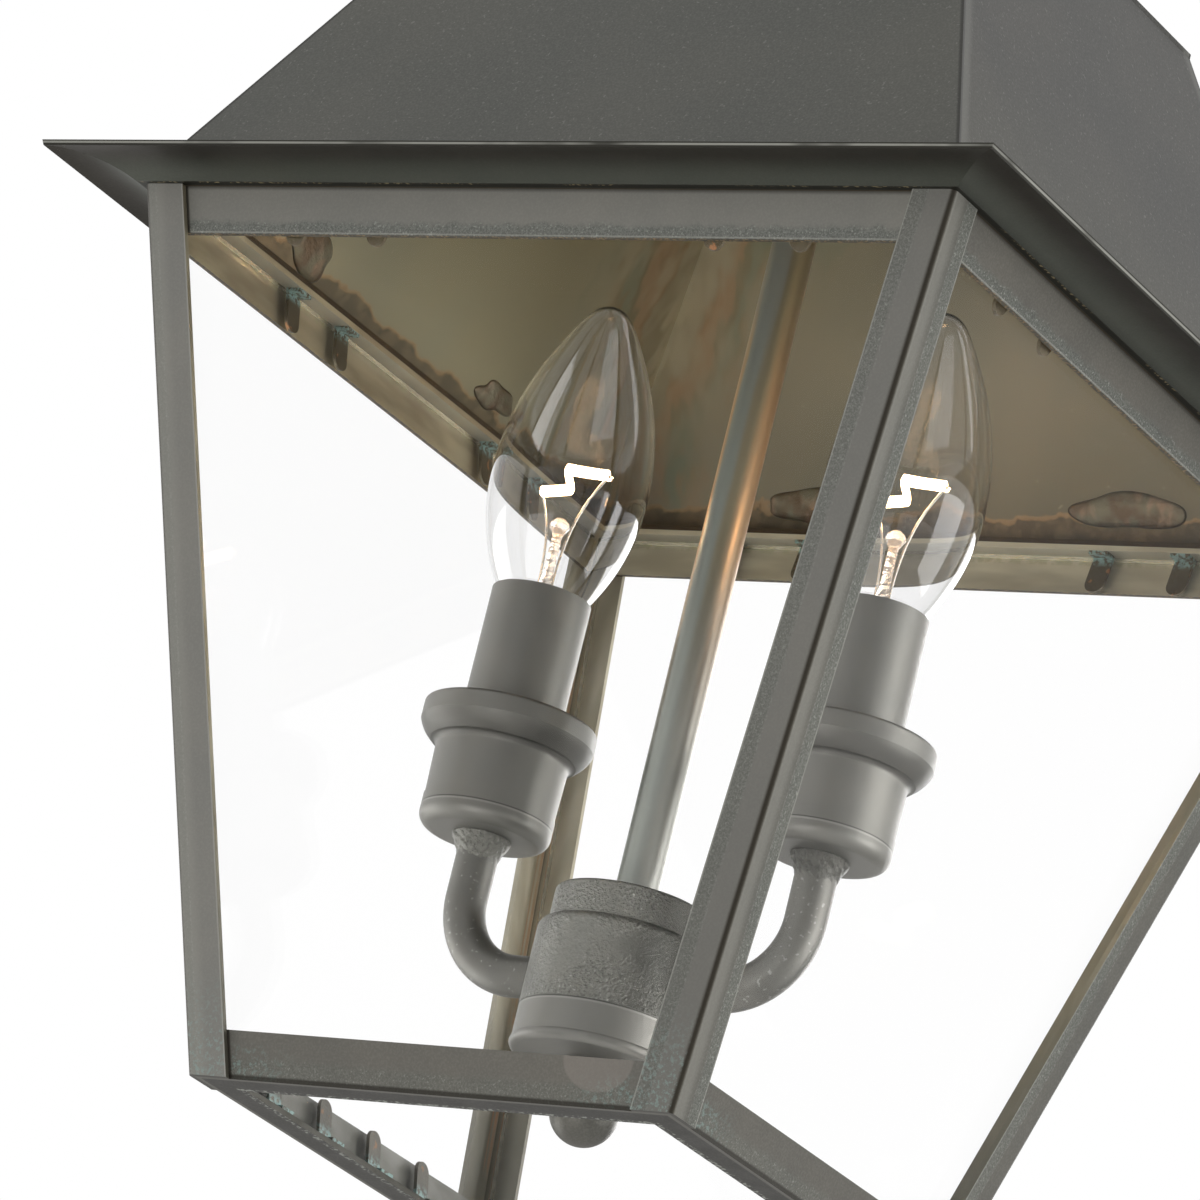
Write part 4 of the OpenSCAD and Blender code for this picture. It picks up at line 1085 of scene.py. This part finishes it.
# %% Screw bases
PITCH, THREAD_DEPTH = 2.54 * MM, 0.55 * MM
CONTACT_Z = np.array([0, 0.4, 2.0, 2.2]) * MM
for side, x in arms.items():
    low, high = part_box(f"bulb_base_{side}")
    radius, length = (high.x - low.x) / 2, high.z - low.z
    z = np.concatenate([CONTACT_Z[:3], np.linspace(CONTACT_Z[3], length, 120)])[:, None]
    full = np.interp(z, CONTACT_Z, [1.6 * MM, 2.4 * MM, radius - 1.0 * MM, radius])
    fade = np.interp(z, [CONTACT_Z[3], 3.6 * MM, length - 5 * MM, length - 3.5 * MM], [0, 1, 1, 0])
    angle = around(64)
    wave = 0.5 - 0.5 * np.cos(2 * np.pi * z / PITCH - angle)
    rings = turned(x, full - THREAD_DEPTH * fade * wave, low.z + z, angle)
    shell = skin(f"screw_base_{side}", rings, (x, 0, low.z), (x, 0, high.z), NICKEL, f"bulb_{side}")
    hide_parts(f"bulb_base_{side}")
print("screw bases:", round(2 * radius, 4), "m across")

# %% [markdown]
# Each arm is brazed into the bottom of its cup. The filler stayed as a rough, ragged fillet round the
# joint, wide at the cup and running out along the arm within 6 mm.

# %% Braze fillets
FILLET_TOP, FILLET_END, FILLET_ROUGH = -0.3 * MM, 6.5 * MM, 0.9 * MM
FILLET_DROPS = np.array([-0.3, 0.0, 1.2, 2.6, 4.2, 6.5]) * MM
FILLET_RADII = np.array([6.0, 6.5, 6.1, 5.3, 4.75, 4.3]) * MM
for side, x in arms.items():
    wander = np.random.default_rng(5)
    angle = around(72)
    drop = np.linspace(FILLET_TOP, FILLET_END, 30)[:, None]
    radius = np.interp(drop, FILLET_DROPS, FILLET_RADII)
    ragged = sum(wander.uniform(0.05, 0.16) * np.cos(k * angle + j * drop / MM + wander.uniform(0, 6.28))
                 for k, j in ((2, 0.6), (3, -1.1), (5, 1.7), (7, -2.3), (11, 2.9), (16, -3.4)))
    fade = np.interp(drop, [0, 1 * MM, 4 * MM, FILLET_END], [0.5, 1, 1, 0])
    radius = radius + FILLET_ROUGH * ragged * fade
    skin(f"braze_fillet_{side}", turned(x, radius, cup_foot - drop, angle), (x, 0, cup_foot - FILLET_TOP),
         (x, 0, cup_foot - FILLET_END), CAST, "lantern")
print("braze fillets:", len(arms))

# %% [markdown]
# ## Solder
#
# The roof is held to the frame by runs of soft solder inside. Solder that was not wiped flat cools as a
# low mound with a wavy outline, shiny where it ran and brown where the flux stayed. Each mound is drawn
# in the plane of the metal that it lies on: rings shrink from the outline to the crown while their
# height rises as a flat dome, and its underside is sunk a little into the metal.

# %% Solder mounds


def soft_solder():
    """Soft solder: dull grey-brown with pinkish and greenish flux colours."""
    material, tree = new_material("soft_solder_with_flux")
    where = axes(tree)[0]
    base = tinted(tree, spots(tree, where, 0.006, 0.35, 0.65, 2.0), "#66553f", "#75705b")
    pink = spots(tree, where, 0.004, 0.50, 0.7, 2.0, 0.5, (1, 1, 2))
    base = marked(tree, base, pink, 0.5, "#a1846c")
    coat(tree, base, 0.45, 0.6, clouds(tree, where, 0.002, 3.0), 0.6, 0.0005)
    return material


SOLDER = soft_solder()
SHEET = 1.2 * MM
MOUND_HEIGHT, MOUND_SUNK = 0.9 * MM, 0.2 * MM


def mound(name, centre, up, across, length, width, seed):
    """A low dome on a plane, length long up it and width wide across it. The outline is an ellipse with
    three seeded waves, and a ring at share v of it stands at MOUND_HEIGHT times the root of 1 - v^2."""
    wander = np.random.default_rng(seed)
    normal = np.cross(up, across)
    angle = around(56)
    outline = 1 + sum(wander.uniform(0.03, 0.13) * np.cos(k * angle + wander.uniform(0, 6.28))
                      for k in (2, 3, 5))
    share = np.sqrt(np.linspace(1, 0.02, 12))
    rise = np.concatenate([[-MOUND_SUNK], MOUND_HEIGHT * np.sqrt(1 - share ** 2)])
    spread = np.concatenate([[0.92], share])[:, None] * outline
    rings = (centre
             + (spread * np.cos(angle) * length / 2)[..., None] * up
             + (spread * np.sin(angle) * width / 2)[..., None] * across
             + rise[:, None, None] * normal)
    skin(name, rings, centre - MOUND_SUNK * normal, centre + MOUND_HEIGHT * normal, SOLDER, "lantern")


roof_angle = math.atan2(roof_foot_half - roof_head_half, roof_head_z - roof_foot_z)
SIDES = {"front": (0, -1), "right": (1, 0), "back": (0, 1), "left": (-1, 0)}


def inside_roof(side, along, up):
    """A point on a roof panel's inner face, along its foot and up its slope, and the two directions along
    the foot and up the slope."""
    out = np.array([*SIDES[side], 0.0])
    across = np.array([-out[1], out[0], 0.0])
    slant = -math.sin(roof_angle) * out + np.array([0, 0, math.cos(roof_angle)])
    foot = out * (roof_foot_half - SHEET / math.cos(roof_angle)) + np.array([0, 0, roof_foot_z])
    return foot + along * across + up * slant, across, slant


# Each mound's roof panel, place along and up it, width and length up the slope.
MOUNDS = [
    ("back", -0.041, 0.0098, 0.029, 0.0085), ("back", 0.041, 0.0085, 0.024, 0.008),
    ("left", 0.042, 0.0095, 0.016, 0.010), ("left", -0.039, 0.0100, 0.014, 0.007),
    ("right", -0.03, 0.008, 0.022, 0.009), ("front", 0.02, 0.008, 0.026, 0.009),
]
for n, (side, along, up, width, length) in enumerate(MOUNDS):
    place, across, slant = inside_roof(side, along, up)
    mound(f"solder_mound_{n + 1}", place, slant, across, length, width, 11 + n)
print("solder mounds:", len(MOUNDS))
